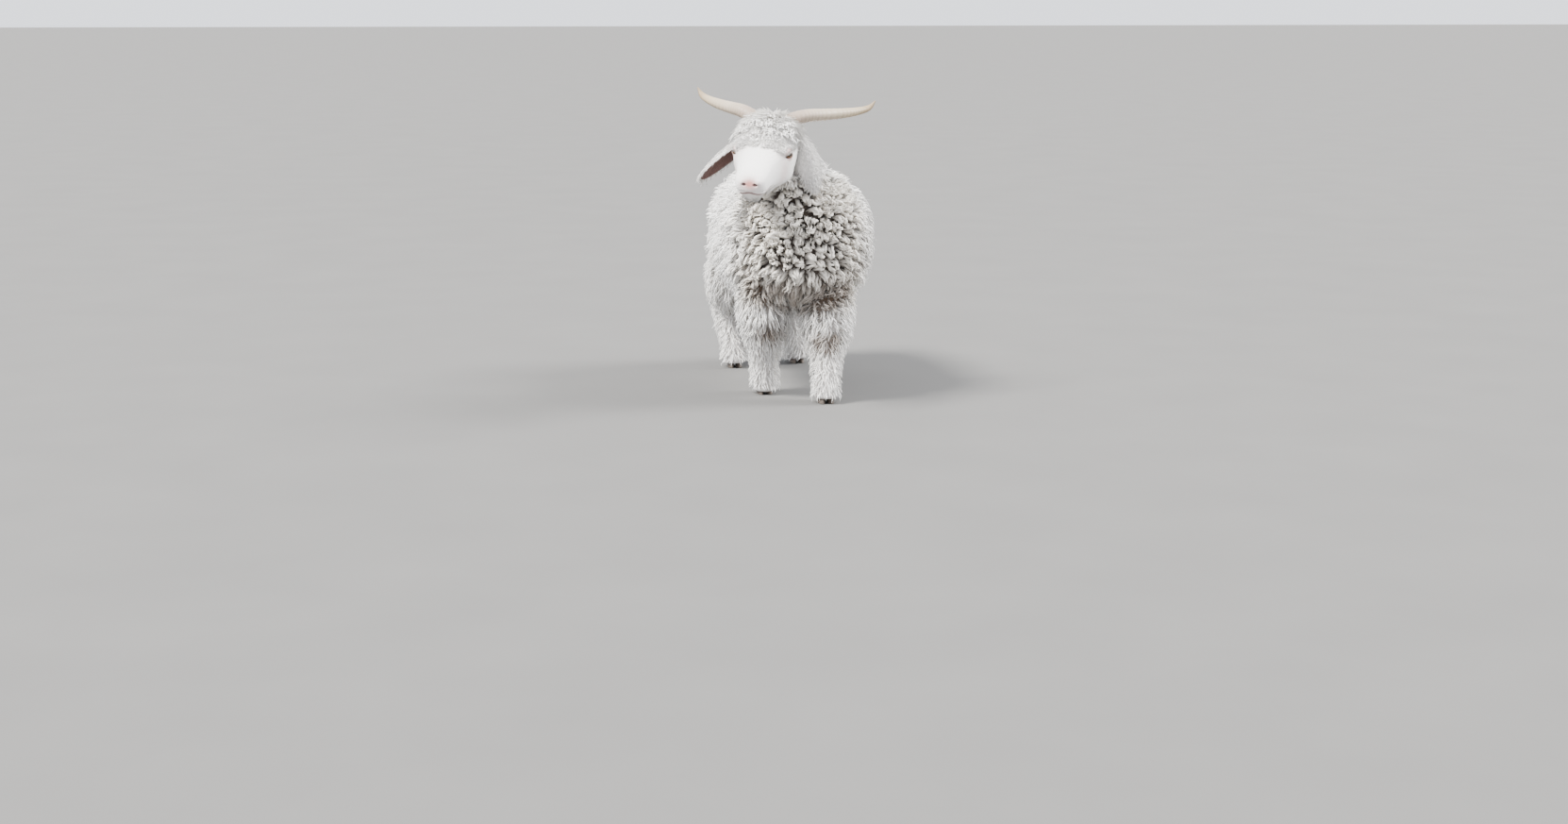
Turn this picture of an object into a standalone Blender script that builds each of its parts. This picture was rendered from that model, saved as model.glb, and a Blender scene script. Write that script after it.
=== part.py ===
"""Angora goat standing in full fleece, life size.

Metres, +Z up. The goat faces -Y, and +X is its left side. The origin is on the floor,
under the middle of the whole animal.
"""
import math
import random

import bmesh
import bpy
import numpy as np
from mathutils import Matrix, Vector

SEED = 7
GAP = 0.0003  # clearance between two nodes that touch

# Driving sizes of the live animal, under its fleece
WITHERS = 0.585
BODY_LENGTH = 0.72
CHEST_FRONT = -0.315
BODY_MIDDLE = 0.026  # the trunk leans over its left feet by this much
RIB_HALF_WIDTH = 0.139
CHEST_FLOOR = 0.300
HEAD_LENGTH = 0.276
HEAD_HALF_WIDTH = 0.085
HORN_RADIUS = 0.0215
EAR_LENGTH = 0.158
EAR_HALF_WIDTH = 0.033
EAR_THICKNESS = 0.0045
EYE_RADIUS = 0.0165
HOOF_LENGTH = 0.052
HOOF_WIDTH = 0.0215
HOOF_HEIGHT = 0.036
FOOT_HEM = 0.014  # height of the coat's edge over the floor
FLEECE = 0.088  # depth of the coat on the ribs
CORE_SHARE = 0.48  # how far the solid core reaches into the coat
SHORT_SHARE = 0.94  # the same where the coat is short, without clumps
TORSO_CLUMP = 0.102  # spacing of the clumps
NECK_CLUMP = 0.080
LEG_CLUMP = 0.076
TAIL_CLUMP = 0.056
LEAN = 0.8  # how far a clump leans along the lie, as a share of its radius

# Where the head sits, and how it is turned: towards the goat's right, nose down
HEAD_AT = Vector((-0.073, -0.270, 0.733))
HEAD_YAW = math.radians(22)
HEAD_PITCH = math.radians(18.5)
HEAD_ROLL = math.radians(-4)

COLOURS = {
    "fleece": ((0.83, 0.79, 0.72), 0.95),
    "face": ((0.88, 0.84, 0.79), 0.85),
    "ear": ((0.82, 0.68, 0.61), 0.80),
    "horn": ((0.72, 0.63, 0.50), 0.45),
    "hoof": ((0.10, 0.085, 0.075), 0.55),
    "eye": ((0.28, 0.16, 0.07), 0.10),
}


def head_axes():
    """The head's own left, forward and up directions."""
    forward = Vector((
        -math.sin(HEAD_YAW) * math.cos(HEAD_PITCH),
        -math.cos(HEAD_YAW) * math.cos(HEAD_PITCH),
        -math.sin(HEAD_PITCH),
    ))
    left = Vector((math.cos(HEAD_YAW), -math.sin(HEAD_YAW), 0))
    left.rotate(Matrix.Rotation(HEAD_ROLL, 3, forward))
    return left, forward, forward.cross(left)


LEFT, FORWARD, UP = head_axes()


def in_head(side, along, up):
    """A point given in the head's own directions."""
    return HEAD_AT + LEFT * side + FORWARD * along + UP * up


def head_way(side, along, up):
    """A direction given in the head's own directions."""
    return (LEFT * side + FORWARD * along + UP * up).normalized()


class Limb:
    """A closed soft form through oval sections.

    A row is x, y, z of the middle, half width, reach to the front or underside, reach to
    the back or top, and the depth of the coat there.
    """

    def __init__(self, rows, side, square=1.0, narrow=0.0, under=1.0, over=1.0, axes=None,
                 core=(CORE_SHARE, CORE_SHARE)):
        self.rows = np.array([list(row) for row in rows], float)
        self.side = np.array(side, float)
        self.square = square
        self.narrow = narrow
        self.under = under
        self.over = over
        self.axes = axes
        self.core = core

    def share(self, t, coat):
        """The share of the coat at t: a number, or the core's own share."""
        if coat != "core":
            return coat
        return float(np.interp(t, (0.35, 0.62), self.core))

    def row(self, t):
        """The row at t from 0 to 1, on a Catmull-Rom curve through the rows."""
        last = len(self.rows) - 1
        place = min(max(t, 0.0), 1.0) * last
        k = min(int(place), last - 1)
        f = place - k
        p1, p2 = self.rows[k], self.rows[k + 1]
        p0 = self.rows[k - 1] if k else 2 * p1 - p2
        p3 = self.rows[k + 2] if k + 2 <= last else 2 * p2 - p1
        return 0.5 * (
            2 * p1 + (p2 - p0) * f + (2 * p0 - 5 * p1 + 4 * p2 - p3) * f**2
            + (3 * p1 - p0 - 3 * p2 + p3) * f**3
        )

    def run(self, t):
        """The direction along the form at t."""
        low, high = max(t - 0.02, 0.0), min(t + 0.02, 1.0)
        way = self.row(high)[:3] - self.row(low)[:3]
        return way / np.linalg.norm(way)

    def frame(self, t):
        """The side and front directions of the section at t."""
        if self.axes:
            return np.array(self.axes[0]), np.array(self.axes[1])
        run = self.run(t)
        across = self.side - run * (self.side @ run)
        across /= np.linalg.norm(across)
        return across, np.cross(across, run)

    def coat(self, t, turn):
        """The depth of the coat at section t and angle turn."""
        s = math.sin(turn)
        share = 1 + (self.under - 1) * max(s, 0) ** 2 + (self.over - 1) * min(s, 0) ** 2
        return max(self.row(t)[6], 0) * share

    def point(self, t, turn, grow=0.0, coat=0.0):
        """The surface at section t and angle turn, grown by a depth and a share of the coat."""
        row = self.row(t)
        across, front = self.frame(t)
        grow = grow + self.share(t, coat) * self.coat(t, turn)
        c, s = math.cos(turn), math.sin(turn)
        c = math.copysign(abs(c) ** self.square, c)
        s = math.copysign(abs(s) ** self.square, s)
        wide = max(row[3] + grow, 0.002) * (1 + self.narrow * s)
        deep = max(row[4 if s > 0 else 5] + grow, 0.002)
        return row[:3] + across * wide * c + front * deep * s

    def normal(self, t, turn, coat=0.0):
        """The outward direction of the surface."""
        d = 0.01
        here = self.point(t, turn, coat=coat)
        low, high = max(t - d, 0.0), min(t + d, 1.0)
        along = self.point(high, turn, coat=coat) - self.point(low, turn, coat=coat)
        round_ = self.point(t, turn + d, coat=coat) - self.point(t, turn - d, coat=coat)
        n = np.cross(round_, along)
        n /= np.linalg.norm(n)
        return n if n @ (here - self.row(t)[:3]) > 0 else -n

    def holds(self, point, grow=0.0, coat=0.0):
        """Whether a point is inside the form grown by that much."""
        point = np.array(point, float)
        ts = np.linspace(0, 1, 50)
        mids = np.array([self.row(t)[:3] for t in ts])
        t = ts[int(np.argmin(((mids - point) ** 2).sum(1)))]
        row = self.row(t)
        across, front = self.frame(t)
        away = point - row[:3]
        grow = grow + self.share(t, coat) * max(row[6], 0)
        x, y = away @ across, away @ front
        if abs(away @ self.run(t)) > 0.03 + grow:
            return False
        deep = row[4 if y > 0 else 5] + grow
        return (x / (row[3] + grow)) ** 2 + (y / deep) ** 2 < 1

    def mesh(self, rings, sides, grow=0.0, coat=0.0, start=0.0, end=1.0):
        """Points and faces of the closed form between two sections."""
        points = []
        for i in range(rings):
            t = start + (end - start) * i / (rings - 1)
            push = self.run(t) * grow * ((i == rings - 1) - (i == 0))
            points += [
                self.point(t, 2 * math.pi * j / sides, grow, coat) + push
                for j in range(sides)
            ]
        return points, rings_to_faces(rings, sides)


def rings_to_faces(rings, sides):
    """Pairs of triangles between rings of points, and a flat cap at each end."""
    faces = [tuple(range(sides))[::-1]]
    for i in range(rings - 1):
        for j in range(sides):
            a, b = i * sides + j, i * sides + (j + 1) % sides
            faces += [(a, b, b + sides), (a, b + sides, a + sides)]
    faces.append(tuple((rings - 1) * sides + j for j in range(sides)))
    return faces


def new_object(name, points, faces, collection):
    """A mesh object whose faces point out."""
    mesh = bpy.data.meshes.new(name)
    mesh.from_pydata([tuple(p) for p in points], [], faces)
    shape = bmesh.new()
    shape.from_mesh(mesh)
    bmesh.ops.triangulate(shape, faces=[f for f in shape.faces if len(f.verts) > 4])
    bmesh.ops.recalc_face_normals(shape, faces=shape.faces)
    if shape.calc_volume(signed=True) < 0:
        bmesh.ops.reverse_faces(shape, faces=shape.faces)
    shape.to_mesh(mesh)
    shape.free()
    obj = bpy.data.objects.new(name, mesh)
    collection.objects.link(obj)
    return obj


def new_collection(name):
    found = bpy.data.collections.new(name)
    bpy.context.scene.collection.children.link(found)
    return found


def remove_all(objects):
    for obj in list(objects):
        mesh = obj.data
        bpy.data.objects.remove(obj)
        if mesh is not None and mesh.users == 0:
            bpy.data.meshes.remove(mesh)


def combine(obj, others, operation, solver="MANIFOLD"):
    """Joins, cuts or trims obj by every object of a collection, which is then emptied."""
    if not others.objects:
        return obj
    modifier = obj.modifiers.new("combine", "BOOLEAN")
    modifier.operation = operation
    modifier.solver = solver
    modifier.operand_type = "COLLECTION"
    modifier.collection = others
    graph = bpy.context.evaluated_depsgraph_get()
    made = bpy.data.meshes.new_from_object(obj.evaluated_get(graph))
    obj.modifiers.clear()
    old = obj.data
    obj.data = made
    bpy.data.meshes.remove(old)
    remove_all(others.objects)
    return obj


def thin_out(obj, share):
    """Merges the slivers that crossing clumps leave, down to a share of the triangles."""
    modifier = obj.modifiers.new("thin_out", "DECIMATE")
    modifier.ratio = share
    modifier.use_collapse_triangulate = True
    graph = bpy.context.evaluated_depsgraph_get()
    made = bpy.data.meshes.new_from_object(obj.evaluated_get(graph))
    obj.modifiers.clear()
    old = obj.data
    obj.data = made
    bpy.data.meshes.remove(old)


def keep_largest(obj):
    """Leaves only the largest closed surface of a node."""
    shape = bmesh.new()
    shape.from_mesh(obj.data)
    bmesh.ops.triangulate(shape, faces=shape.faces)
    left = set(shape.faces)
    shells = []
    while left:
        front = [left.pop()]
        shell = list(front)
        while front:
            face = front.pop()
            for edge in face.edges:
                for other in edge.link_faces:
                    if other in left:
                        left.discard(other)
                        front.append(other)
                        shell.append(other)
        shells.append(shell)
    shells.sort(key=shell_volume, reverse=True)
    loose = [face for shell in shells[1:] for face in shell]
    bmesh.ops.delete(shape, geom=loose, context="FACES")
    shape.to_mesh(obj.data)
    shape.free()


def shell_volume(faces):
    total = 0.0
    for face in faces:
        a, b, c = (v.co for v in face.verts)
        total += a.dot(b.cross(c)) / 6
    return abs(total)


def material(name):
    colour, roughness = COLOURS[name]
    made = bpy.data.materials.get(name) or bpy.data.materials.new(name)
    made.use_nodes = True
    shader = made.node_tree.nodes["Principled BSDF"]
    shader.inputs["Base Color"].default_value = (*colour, 1)
    shader.inputs["Roughness"].default_value = roughness
    shader.inputs["Metallic"].default_value = 0.0
    return made


# The forms of the body


def torso_limb():
    """Breast, ribs, belly and rump, from the front to the back."""
    shares = (  # along the body, width, top, floor, coat
        (0.000, 0.20, 0.800, 1.42, 0.66),
        (0.030, 0.52, 0.890, 1.22, 0.80),
        (0.090, 0.76, 0.955, 1.10, 0.92),
        (0.190, 0.93, 1.000, 1.03, 1.00),
        (0.330, 1.00, 0.985, 1.00, 1.02),
        (0.500, 1.00, 0.965, 0.99, 1.00),
        (0.660, 0.96, 0.970, 1.04, 0.96),
        (0.800, 0.86, 0.982, 1.13, 0.92),
        (0.900, 0.70, 0.960, 1.24, 0.88),
        (0.965, 0.46, 0.910, 1.38, 0.78),
        (1.000, 0.18, 0.845, 1.54, 0.66),
    )
    rows = []
    for along, width, top, floor, coat in shares:
        high, low = top * WITHERS, floor * CHEST_FLOOR
        rows.append((
            BODY_MIDDLE, CHEST_FRONT + along * BODY_LENGTH, (high + low) / 2,
            width * RIB_HALF_WIDTH, (high - low) / 2, (high - low) / 2, coat * FLEECE,
        ))
    return Limb(rows, (-1, 0, 0), square=0.86, under=0.92, over=0.80)


def neck_limb():
    """The neck, from inside the shoulders to the back of the head."""
    top = in_head(0, -0.030, -0.030)
    base = Vector((BODY_MIDDLE, CHEST_FRONT + 0.215, 0.400))
    low = Vector((BODY_MIDDLE, CHEST_FRONT + 0.145, 0.500))
    mid = low.lerp(top, 0.40)
    high = low.lerp(top, 0.76)
    rows = (
        (*base, 0.088, 0.110, 0.120, 0.084),
        (*low, 0.084, 0.112, 0.118, 0.082),
        (*mid, 0.068, 0.086, 0.088, 0.070),
        (*high, 0.057, 0.066, 0.066, 0.054),
        (*top, 0.048, 0.054, 0.052, 0.040),
    )
    return Limb(rows, (1, -0.2, 0), over=0.82)


def head_limb():
    """The head from the back of the skull to the nose, without its openings."""
    shares = (  # along, half width, top, underside
        (-0.270, 0.36, 0.010, 0.052),
        (-0.165, 0.74, 0.044, 0.084),
        (0.000, 0.92, 0.060, 0.100),
        (0.160, 0.99, 0.063, 0.108),
        (0.325, 1.00, 0.055, 0.108),
        (0.450, 0.91, 0.043, 0.100),
        (0.580, 0.74, 0.031, 0.087),
        (0.725, 0.62, 0.022, 0.077),
        (0.850, 0.57, 0.014, 0.070),
        (0.935, 0.52, 0.004, 0.064),
        (0.980, 0.41, -0.007, 0.056),
        (1.000, 0.24, -0.018, 0.044),
        (1.008, 0.11, -0.024, 0.038),
    )
    rows = []
    for along, width, top, floor in shares:
        mid = (top - floor) / 2
        rows.append((
            *in_head(0, along * HEAD_LENGTH, mid), width * HEAD_HALF_WIDTH,
            (top + floor) / 2, (top + floor) / 2, 0.012,
        ))
    return Limb(rows, LEFT, square=0.86, narrow=0.10, axes=(LEFT, UP))


LEG_JOINTS = {  # from the shoulder or thigh down to the hoof
    "fore_left": ((0.088, -0.165, 0.400), (0.092, -0.190, 0.345), (0.092, -0.225, 0.270),
                  (0.088, -0.258, 0.185), (0.084, -0.272, 0.120), (0.080, -0.288, 0.070),
                  (0.078, -0.297, 0.010)),
    "fore_right": ((-0.072, -0.185, 0.400), (-0.078, -0.180, 0.345), (-0.076, -0.172, 0.270),
                   (-0.073, -0.160, 0.185), (-0.071, -0.145, 0.120), (-0.069, -0.132, 0.070),
                   (-0.068, -0.127, 0.010)),
    "hind_left": ((0.104, 0.225, 0.440), (0.110, 0.255, 0.385), (0.116, 0.310, 0.300),
                  (0.119, 0.415, 0.205), (0.118, 0.402, 0.130), (0.117, 0.385, 0.070),
                  (0.116, 0.376, 0.010)),
    "hind_right": ((-0.082, 0.215, 0.440), (-0.088, 0.235, 0.385), (-0.094, 0.275, 0.300),
                   (-0.094, 0.375, 0.205), (-0.092, 0.358, 0.130), (-0.089, 0.335, 0.070),
                   (-0.087, 0.325, 0.010)),
}
FORE_SECTIONS = (  # half width, front, back, coat
    (0.044, 0.056, 0.060, 0.004), (0.050, 0.062, 0.066, 0.012), (0.041, 0.046, 0.052, 0.046),
    (0.028, 0.030, 0.031, 0.042), (0.021, 0.022, 0.024, 0.029), (0.020, 0.023, 0.025, 0.026),
    (0.023, 0.028, 0.027, 0.024),
)
HIND_SECTIONS = (
    (0.050, 0.080, 0.090, 0.004), (0.054, 0.086, 0.092, 0.014), (0.045, 0.058, 0.062, 0.046),
    (0.026, 0.028, 0.036, 0.040), (0.021, 0.023, 0.026, 0.031), (0.020, 0.023, 0.025, 0.026),
    (0.023, 0.028, 0.027, 0.024),
)


def leg_limb(name):
    """A leg from just inside the trunk down to the hooves."""
    sections = FORE_SECTIONS if name.startswith("fore") else HIND_SECTIONS
    rows = [(*joint, *section) for joint, section in zip(LEG_JOINTS[name], sections)]
    return Limb(rows, (-1, 0, 0), core=(CORE_SHARE, SHORT_SHARE))


TAIL_ROOT = Vector((BODY_MIDDLE, CHEST_FRONT + BODY_LENGTH - 0.075, 0.520))
TAIL_WAY = Vector((0, 0.60, 0.80)).normalized()


def tail_limb():
    """The short upright tail, from inside the rump to its tip."""
    rows = [
        (*(TAIL_ROOT + TAIL_WAY * along), wide, wide * 0.8, wide * 0.8, coat)
        for along, wide, coat in (
            (0.0, 0.026, 0.010), (0.04, 0.024, 0.016), (0.08, 0.021, 0.030),
            (0.115, 0.017, 0.036), (0.145, 0.012, 0.032), (0.165, 0.005, 0.022),
        )
    ]
    return Limb(rows, (1, 0, 0))


def horn_limb(side):
    """A horn: out, back and a little up, with a raised tip."""
    line = (  # side, along, up, and thickness as a share
        (0.026, -0.002, 0.026, 1.00), (0.050, -0.020, 0.047, 1.00),
        (0.088, -0.048, 0.053, 0.95), (0.130, -0.084, 0.046, 0.86),
        (0.174, -0.126, 0.037, 0.74), (0.212, -0.166, 0.031, 0.58),
        (0.238, -0.192, 0.033, 0.42), (0.254, -0.206, 0.049, 0.10),
    )
    rows = [
        (*in_head(x * side, y, z), HORN_RADIUS * share * 0.86, HORN_RADIUS * share,
         HORN_RADIUS * share, 0)
        for x, y, z, share in line
    ]
    return Limb(rows, UP)


EAR_LINES = {  # root, bow and way to the tip, and the way its back faces, in the head's directions
    1: ((0.064, -0.002, 0.022), (0.062, 0.010, 0.010), (0.05, 0.32, -0.93), (0.60, 0.74, 0.26)),
    -1: ((-0.066, 0.006, -0.004), (-0.030, 0.0, 0.016), (-0.50, 0.45, -0.66), (-0.53, -0.58, 0.60)),
}


def ear_line(side, u):
    """The middle of an ear at u from root to tip, in the head's directions."""
    root, bow, way, _ = (np.array(v) for v in EAR_LINES[side])
    return root + bow * (1 - (1 - u) ** 2) + way / np.linalg.norm(way) * EAR_LENGTH * u


def ear_mesh(side, grow=0.0, rings=12, half=6):
    """A long hanging ear with a cupped inner face."""
    face = np.array(EAR_LINES[side][3])
    face = face / np.linalg.norm(face)
    points = []
    for i in range(rings):
        u = i / (rings - 1)
        mid = ear_line(side, u)
        run = ear_line(side, min(u + 0.02, 1)) - ear_line(side, max(u - 0.02, 0))
        run /= np.linalg.norm(run)
        mid = mid + run * grow * ((i == rings - 1) - (i == 0))
        across = np.cross(run, face)
        across /= np.linalg.norm(across)
        outer = np.cross(across, run)
        wide = EAR_HALF_WIDTH * (0.36 + 0.64 * math.sin(min(1, u * 2.2) * math.pi / 2))
        wide *= math.sqrt(max(0.0, 1 - (max(0, u - 0.40) / 0.61) ** 2.3))
        wide = max(wide, 0.004)
        cup = wide * (0.95 - 0.45 * u)
        for inner in (0, 1):
            for k in range(half):
                v = (k / (half - 1) * 2 - 1) * (-1 if inner else 1) * (1 + grow / wide)
                thick = EAR_THICKNESS * (1 - 0.5 * v * v)
                depth = -cup * v * v + cup * 0.4
                depth += (-thick - grow) if inner else grow
                points.append(mid + across * wide * v + outer * depth)
    return [in_head(*point) for point in points], rings_to_faces(rings, half * 2)


def hoof(leg, side, collection, grow=0.0, name="hoof_space"):
    """One claw of a foot: a flat sole, a sloping toe and an upright heel."""
    foot = Vector(LEG_JOINTS[leg][-1])
    split = 0.0016
    sides = 12
    points = []
    for up, shrink, slide in ((0.0, 1.0, 0.0), (0.45, 0.95, 0.05), (1.0, 0.82, 0.13)):
        for j in range(sides):
            a = 2 * math.pi * j / sides
            x = side * (split + HOOF_WIDTH / 2)
            x += math.cos(a) * (HOOF_WIDTH / 2 * shrink * (1 + 0.2 * math.sin(a)) * 0.9 + grow)
            y = math.sin(a) * (HOOF_LENGTH / 2 * shrink + grow) + slide * HOOF_LENGTH
            z = up * (HOOF_HEIGHT + grow) - (grow if up == 0 else 0)
            points.append((foot.x + x, foot.y + y - 0.002, z))
    return new_object(name, points, rings_to_faces(3, sides), collection)


EYE_SIDE, EYE_ALONG, EYE_UP = 0.0660, 0.112, 0.006
LID_DEPTH = 0.0042
LID_HALF_LENGTH, LID_HALF_HEIGHT = 0.0165, 0.0085


def eye_at(side):
    return in_head(EYE_SIDE * side, EYE_ALONG, EYE_UP)


def eye_way(side):
    return head_way(0.84 * side, 0.50, 0.14)


def ball(name, at, radius, collection, across=16, down=9):
    """A sphere whose poles are up and down."""
    shape = bmesh.new()
    bmesh.ops.create_uvsphere(
        shape, u_segments=across, v_segments=down, radius=radius,
        matrix=Matrix.Translation(at),
    )
    mesh = bpy.data.meshes.new(name)
    shape.to_mesh(mesh)
    shape.free()
    obj = bpy.data.objects.new(name, mesh)
    collection.objects.link(obj)
    return obj


def mouth_limb(head):
    """The line between the lips, from one corner round the muzzle to the other."""
    half = []
    for k in range(8):
        t = 0.585 + 0.32 * k / 7
        row = head.row(t)
        up = -0.052 + 0.011 * min(1, k / 4)
        rise = (up - (Vector(row[:3]) - HEAD_AT).dot(UP)) / row[4]
        turn = math.asin(-min(0.98, abs(rise)) ** (1 / head.square))
        half.append(head.point(t, turn))
    middle = np.array(in_head(0, 0.2755, -0.041))
    rows = []
    for point in half:
        rows.append((*point, 0.0016, 0.0050, 0.0050, 0))
    rows.append((*middle, 0.0016, 0.0050, 0.0050, 0))
    left = np.array(LEFT)
    for point in half[::-1]:
        side = (point - np.array(HEAD_AT)) @ left
        rows.append((*(point - left * 2 * side), 0.0016, 0.0050, 0.0050, 0))
    return Limb(rows, UP)


def pebble(name, at, radii, collection, across=10, down=6):
    """An egg with its axes along the head's directions."""
    turn = Matrix((LEFT, FORWARD, UP)).transposed().to_4x4()
    shape = bmesh.new()
    bmesh.ops.create_uvsphere(
        shape, u_segments=across, v_segments=down, radius=1,
        matrix=Matrix.Translation(at) @ turn @ Matrix.Diagonal((*radii, 1)),
    )
    bmesh.ops.recalc_face_normals(shape, faces=shape.faces)
    mesh = bpy.data.meshes.new(name)
    shape.to_mesh(mesh)
    shape.free()
    obj = bpy.data.objects.new(name, mesh)
    collection.objects.link(obj)
    return obj


def lid_opening(side, collection):
    """The almond between the lids, as a prism that reaches out from the eyeball."""
    out = np.array(eye_way(side))
    slant = np.array(head_way(-0.42 * side, 0.90, -0.22))
    slant = slant - out * (slant @ out)
    slant /= np.linalg.norm(slant)
    rise = np.cross(out, slant)
    sides = 14
    points = []
    for depth, spread in ((0.004, 0.9), (0.040, 1.3)):
        for j in range(sides):
            a = 2 * math.pi * j / sides
            x = math.cos(a) * LID_HALF_LENGTH
            z = math.copysign(abs(math.sin(a)) ** 1.35, math.sin(a)) * LID_HALF_HEIGHT
            points.append(np.array(eye_at(side)) + out * depth + (slant * x + rise * z) * spread)
    return new_object("almond", points, rings_to_faces(2, sides), collection)


# The clumps of the coat


def clump(root, out, lie, reach, radius, rng, collection, flat=0.8):
    """One rounded tapering clump, sunk below its root and bent along the lie of the coat."""
    lie = lie - out * (lie @ out)
    size = np.linalg.norm(lie)
    lie = lie / size if size > 1e-6 else np.array((0.0, 0.0, 0.0))
    swing = rng.uniform(-0.35, 0.35)
    aside = np.cross(out, lie)
    lean = lie + aside * swing
    low = root - out * (0.4 * radius + 0.008)
    mid = root + out * reach * 0.80
    tip = root + out * reach + lean * radius * LEAN
    sides = 6
    stations = ((0.0, 0.80), (0.45, 1.0), (0.76, 0.86), (0.95, 0.50))
    points = []
    turn = rng.uniform(0, math.pi)
    for u, wide in stations:
        at = low * (1 - u) ** 2 + mid * 2 * u * (1 - u) + tip * u**2
        run = (mid - low) * (1 - u) + (tip - mid) * u
        run /= np.linalg.norm(run)
        across = np.cross(run, out + lie * 0.01)
        if np.linalg.norm(across) < 1e-3:
            across = np.cross(run, np.array((0.3, 0.8, 0.5)))
        across = aside - run * (aside @ run)
        across /= np.linalg.norm(across)
        thick = np.cross(run, across)
        for j in range(sides):
            a = 2 * math.pi * j / sides + turn
            points.append(
                at + across * math.cos(a) * radius * wide
                + thick * math.sin(a) * radius * wide * flat
            )
    points.append(tip + (tip - mid) / np.linalg.norm(tip - mid) * radius * 0.16)
    last = (len(stations) - 1) * sides
    faces = [f for f in rings_to_faces(len(stations), sides)[:-1]]
    faces += [(last + j, last + (j + 1) % sides, len(points) - 1) for j in range(sides)]
    return new_object("clump", points, faces, collection)


def ring_places(limb, spacing, start, end, coat):
    """Section values whose rings lie one spacing apart along the surface."""
    samples = 80
    turns = [k * math.pi / 3 for k in range(6)]
    ts = [start + (end - start) * i / samples for i in range(samples + 1)]
    run = [0.0]
    for a, b in zip(ts, ts[1:]):
        steps = [
            np.linalg.norm(limb.point(b, q, coat=coat) - limb.point(a, q, coat=coat))
            for q in turns
        ]
        run.append(run[-1] + sum(steps) / len(steps))
    count = max(1, round(run[-1] / spacing))
    return [
        float(np.interp((i + 0.5) / count * run[-1], run, ts)) for i in range(count)
    ]


def girth(limb, t, coat):
    turns = [k * math.pi / 12 for k in range(25)]
    ring = [limb.point(t, q, coat=coat) for q in turns]
    return sum(np.linalg.norm(b - a) for a, b in zip(ring, ring[1:]))


def grow_clumps(limb, spacing, lie, rng, collection, start=0.0, end=1.0, wide=0.62,
                keep=None):
    """Rings of clumps over a form, each clump shifted by half a place from ring to ring."""
    for i, t in enumerate(ring_places(limb, spacing * 0.9, start, end, "core")):
        count = max(1, round(girth(limb, t, "core") / spacing))
        for j in range(count):
            turn = 2 * math.pi * (j + 0.5 * (i % 2) + rng.uniform(-0.18, 0.18)) / count
            at = min(max(t + rng.uniform(-0.006, 0.006), start), end)
            root = limb.point(at, turn, coat="core")
            out = limb.normal(at, turn, coat="core")
            if keep and not keep(root, out):
                continue
            rise = 1 - limb.share(at, "core")
            radius = spacing * wide * rng.uniform(0.90, 1.10)
            row = limb.row(at)
            bulge = (radius * LEAN) ** 2 / (row[3] + row[4] + 2 * row[6])
            reach = limb.coat(at, turn) * rise * rng.uniform(0.88, 1.04) - bulge
            clump(root, out, lie(root, out), reach, radius, rng, collection)


def hang(root, out):
    """The lie of the fleece: down the sides and a little back."""
    side = np.sign(root[0] - BODY_MIDDLE)
    return np.array((0.5 * side * abs(out[2]), 0.25 + 0.5 * max(out[2], 0), -1.0))


def down(root, out):
    """The lie of the wool on the legs."""
    return np.array((0.0, 0.0, -1.0))


def trunk_clumps(forms, rng, collection):
    """Clumps over the torso and the neck, left out where another form covers them."""
    torso, neck, head = forms["torso"], forms["neck"], forms["head"]
    legs = [forms[name] for name in LEG_JOINTS]

    def on_torso(root, out):
        hidden = neck.holds(root, grow=-0.012, coat="core")
        hidden = hidden or any(leg.holds(root, grow=0.004, coat=1.0) for leg in legs)
        return not hidden and not forms["tail"].holds(root, grow=0.01, coat=1.0)

    def on_neck(root, out):
        away = root - np.array(HEAD_AT)
        beside = abs(away @ np.array(LEFT)) > 0.045 and away @ np.array(UP) > -0.09
        ahead = away @ np.array(FORWARD) > -0.05
        hidden = torso.holds(root, grow=-0.012, coat="core") or head.holds(root, grow=0.0)
        return not hidden and not (beside and ahead)

    grow_clumps(torso, TORSO_CLUMP, hang, rng, collection, keep=on_torso)
    grow_clumps(neck, NECK_CLUMP, hang, rng, collection, start=0.1, keep=on_neck)


def leg_clumps(leg, others, rng, collection):
    """Clumps down a leg from where it leaves the trunk."""

    def free(root, out):
        return not any(other.holds(root, grow=-0.01, coat=1.0) for other in others)

    grow_clumps(leg, LEG_CLUMP, down, rng, collection, start=0.16, end=0.56, keep=free)


def forelock(rng, collection):
    """The curls on the crown and the forehead."""
    for along, count, width in ((-0.022, 2, 0.022), (0.012, 4, 0.046), (0.045, 3, 0.036),
                                (0.076, 2, 0.020)):
        for i in range(count):
            side = (i - (count - 1) / 2) * 2 * width / count + rng.uniform(-0.004, 0.004)
            root = np.array(in_head(side, along, 0.053 - 6.5 * side**2 - 1.6 * max(along, 0)**2))
            out = np.array(head_way(side * 5, 0.25, 1.0))
            lie = np.array(head_way(side * 8, 1.0, -0.2))
            clump(root, out, lie, 0.024 * rng.uniform(0.8, 1.1), 0.0195, rng, collection)


# The nodes


def half_space(point, normal, collection, size=1.2):
    """A large box that fills the side of a plane that its normal points to."""
    turn = Vector(normal).to_track_quat("Z", "Y").to_matrix().to_4x4()
    place = Matrix.Translation(point) @ turn @ Matrix.Translation((0, 0, size))
    shape = bmesh.new()
    bmesh.ops.create_cube(shape, size=2 * size, matrix=place)
    mesh = bpy.data.meshes.new("half")
    shape.to_mesh(mesh)
    shape.free()
    obj = bpy.data.objects.new("half", mesh)
    collection.objects.link(obj)
    return obj


NECK_CUT_AT = Vector((0, CHEST_FRONT + 0.150, 0.535))
NECK_CUT_NORMAL = Vector((0, -0.62, 0.785)).normalized()


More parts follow.
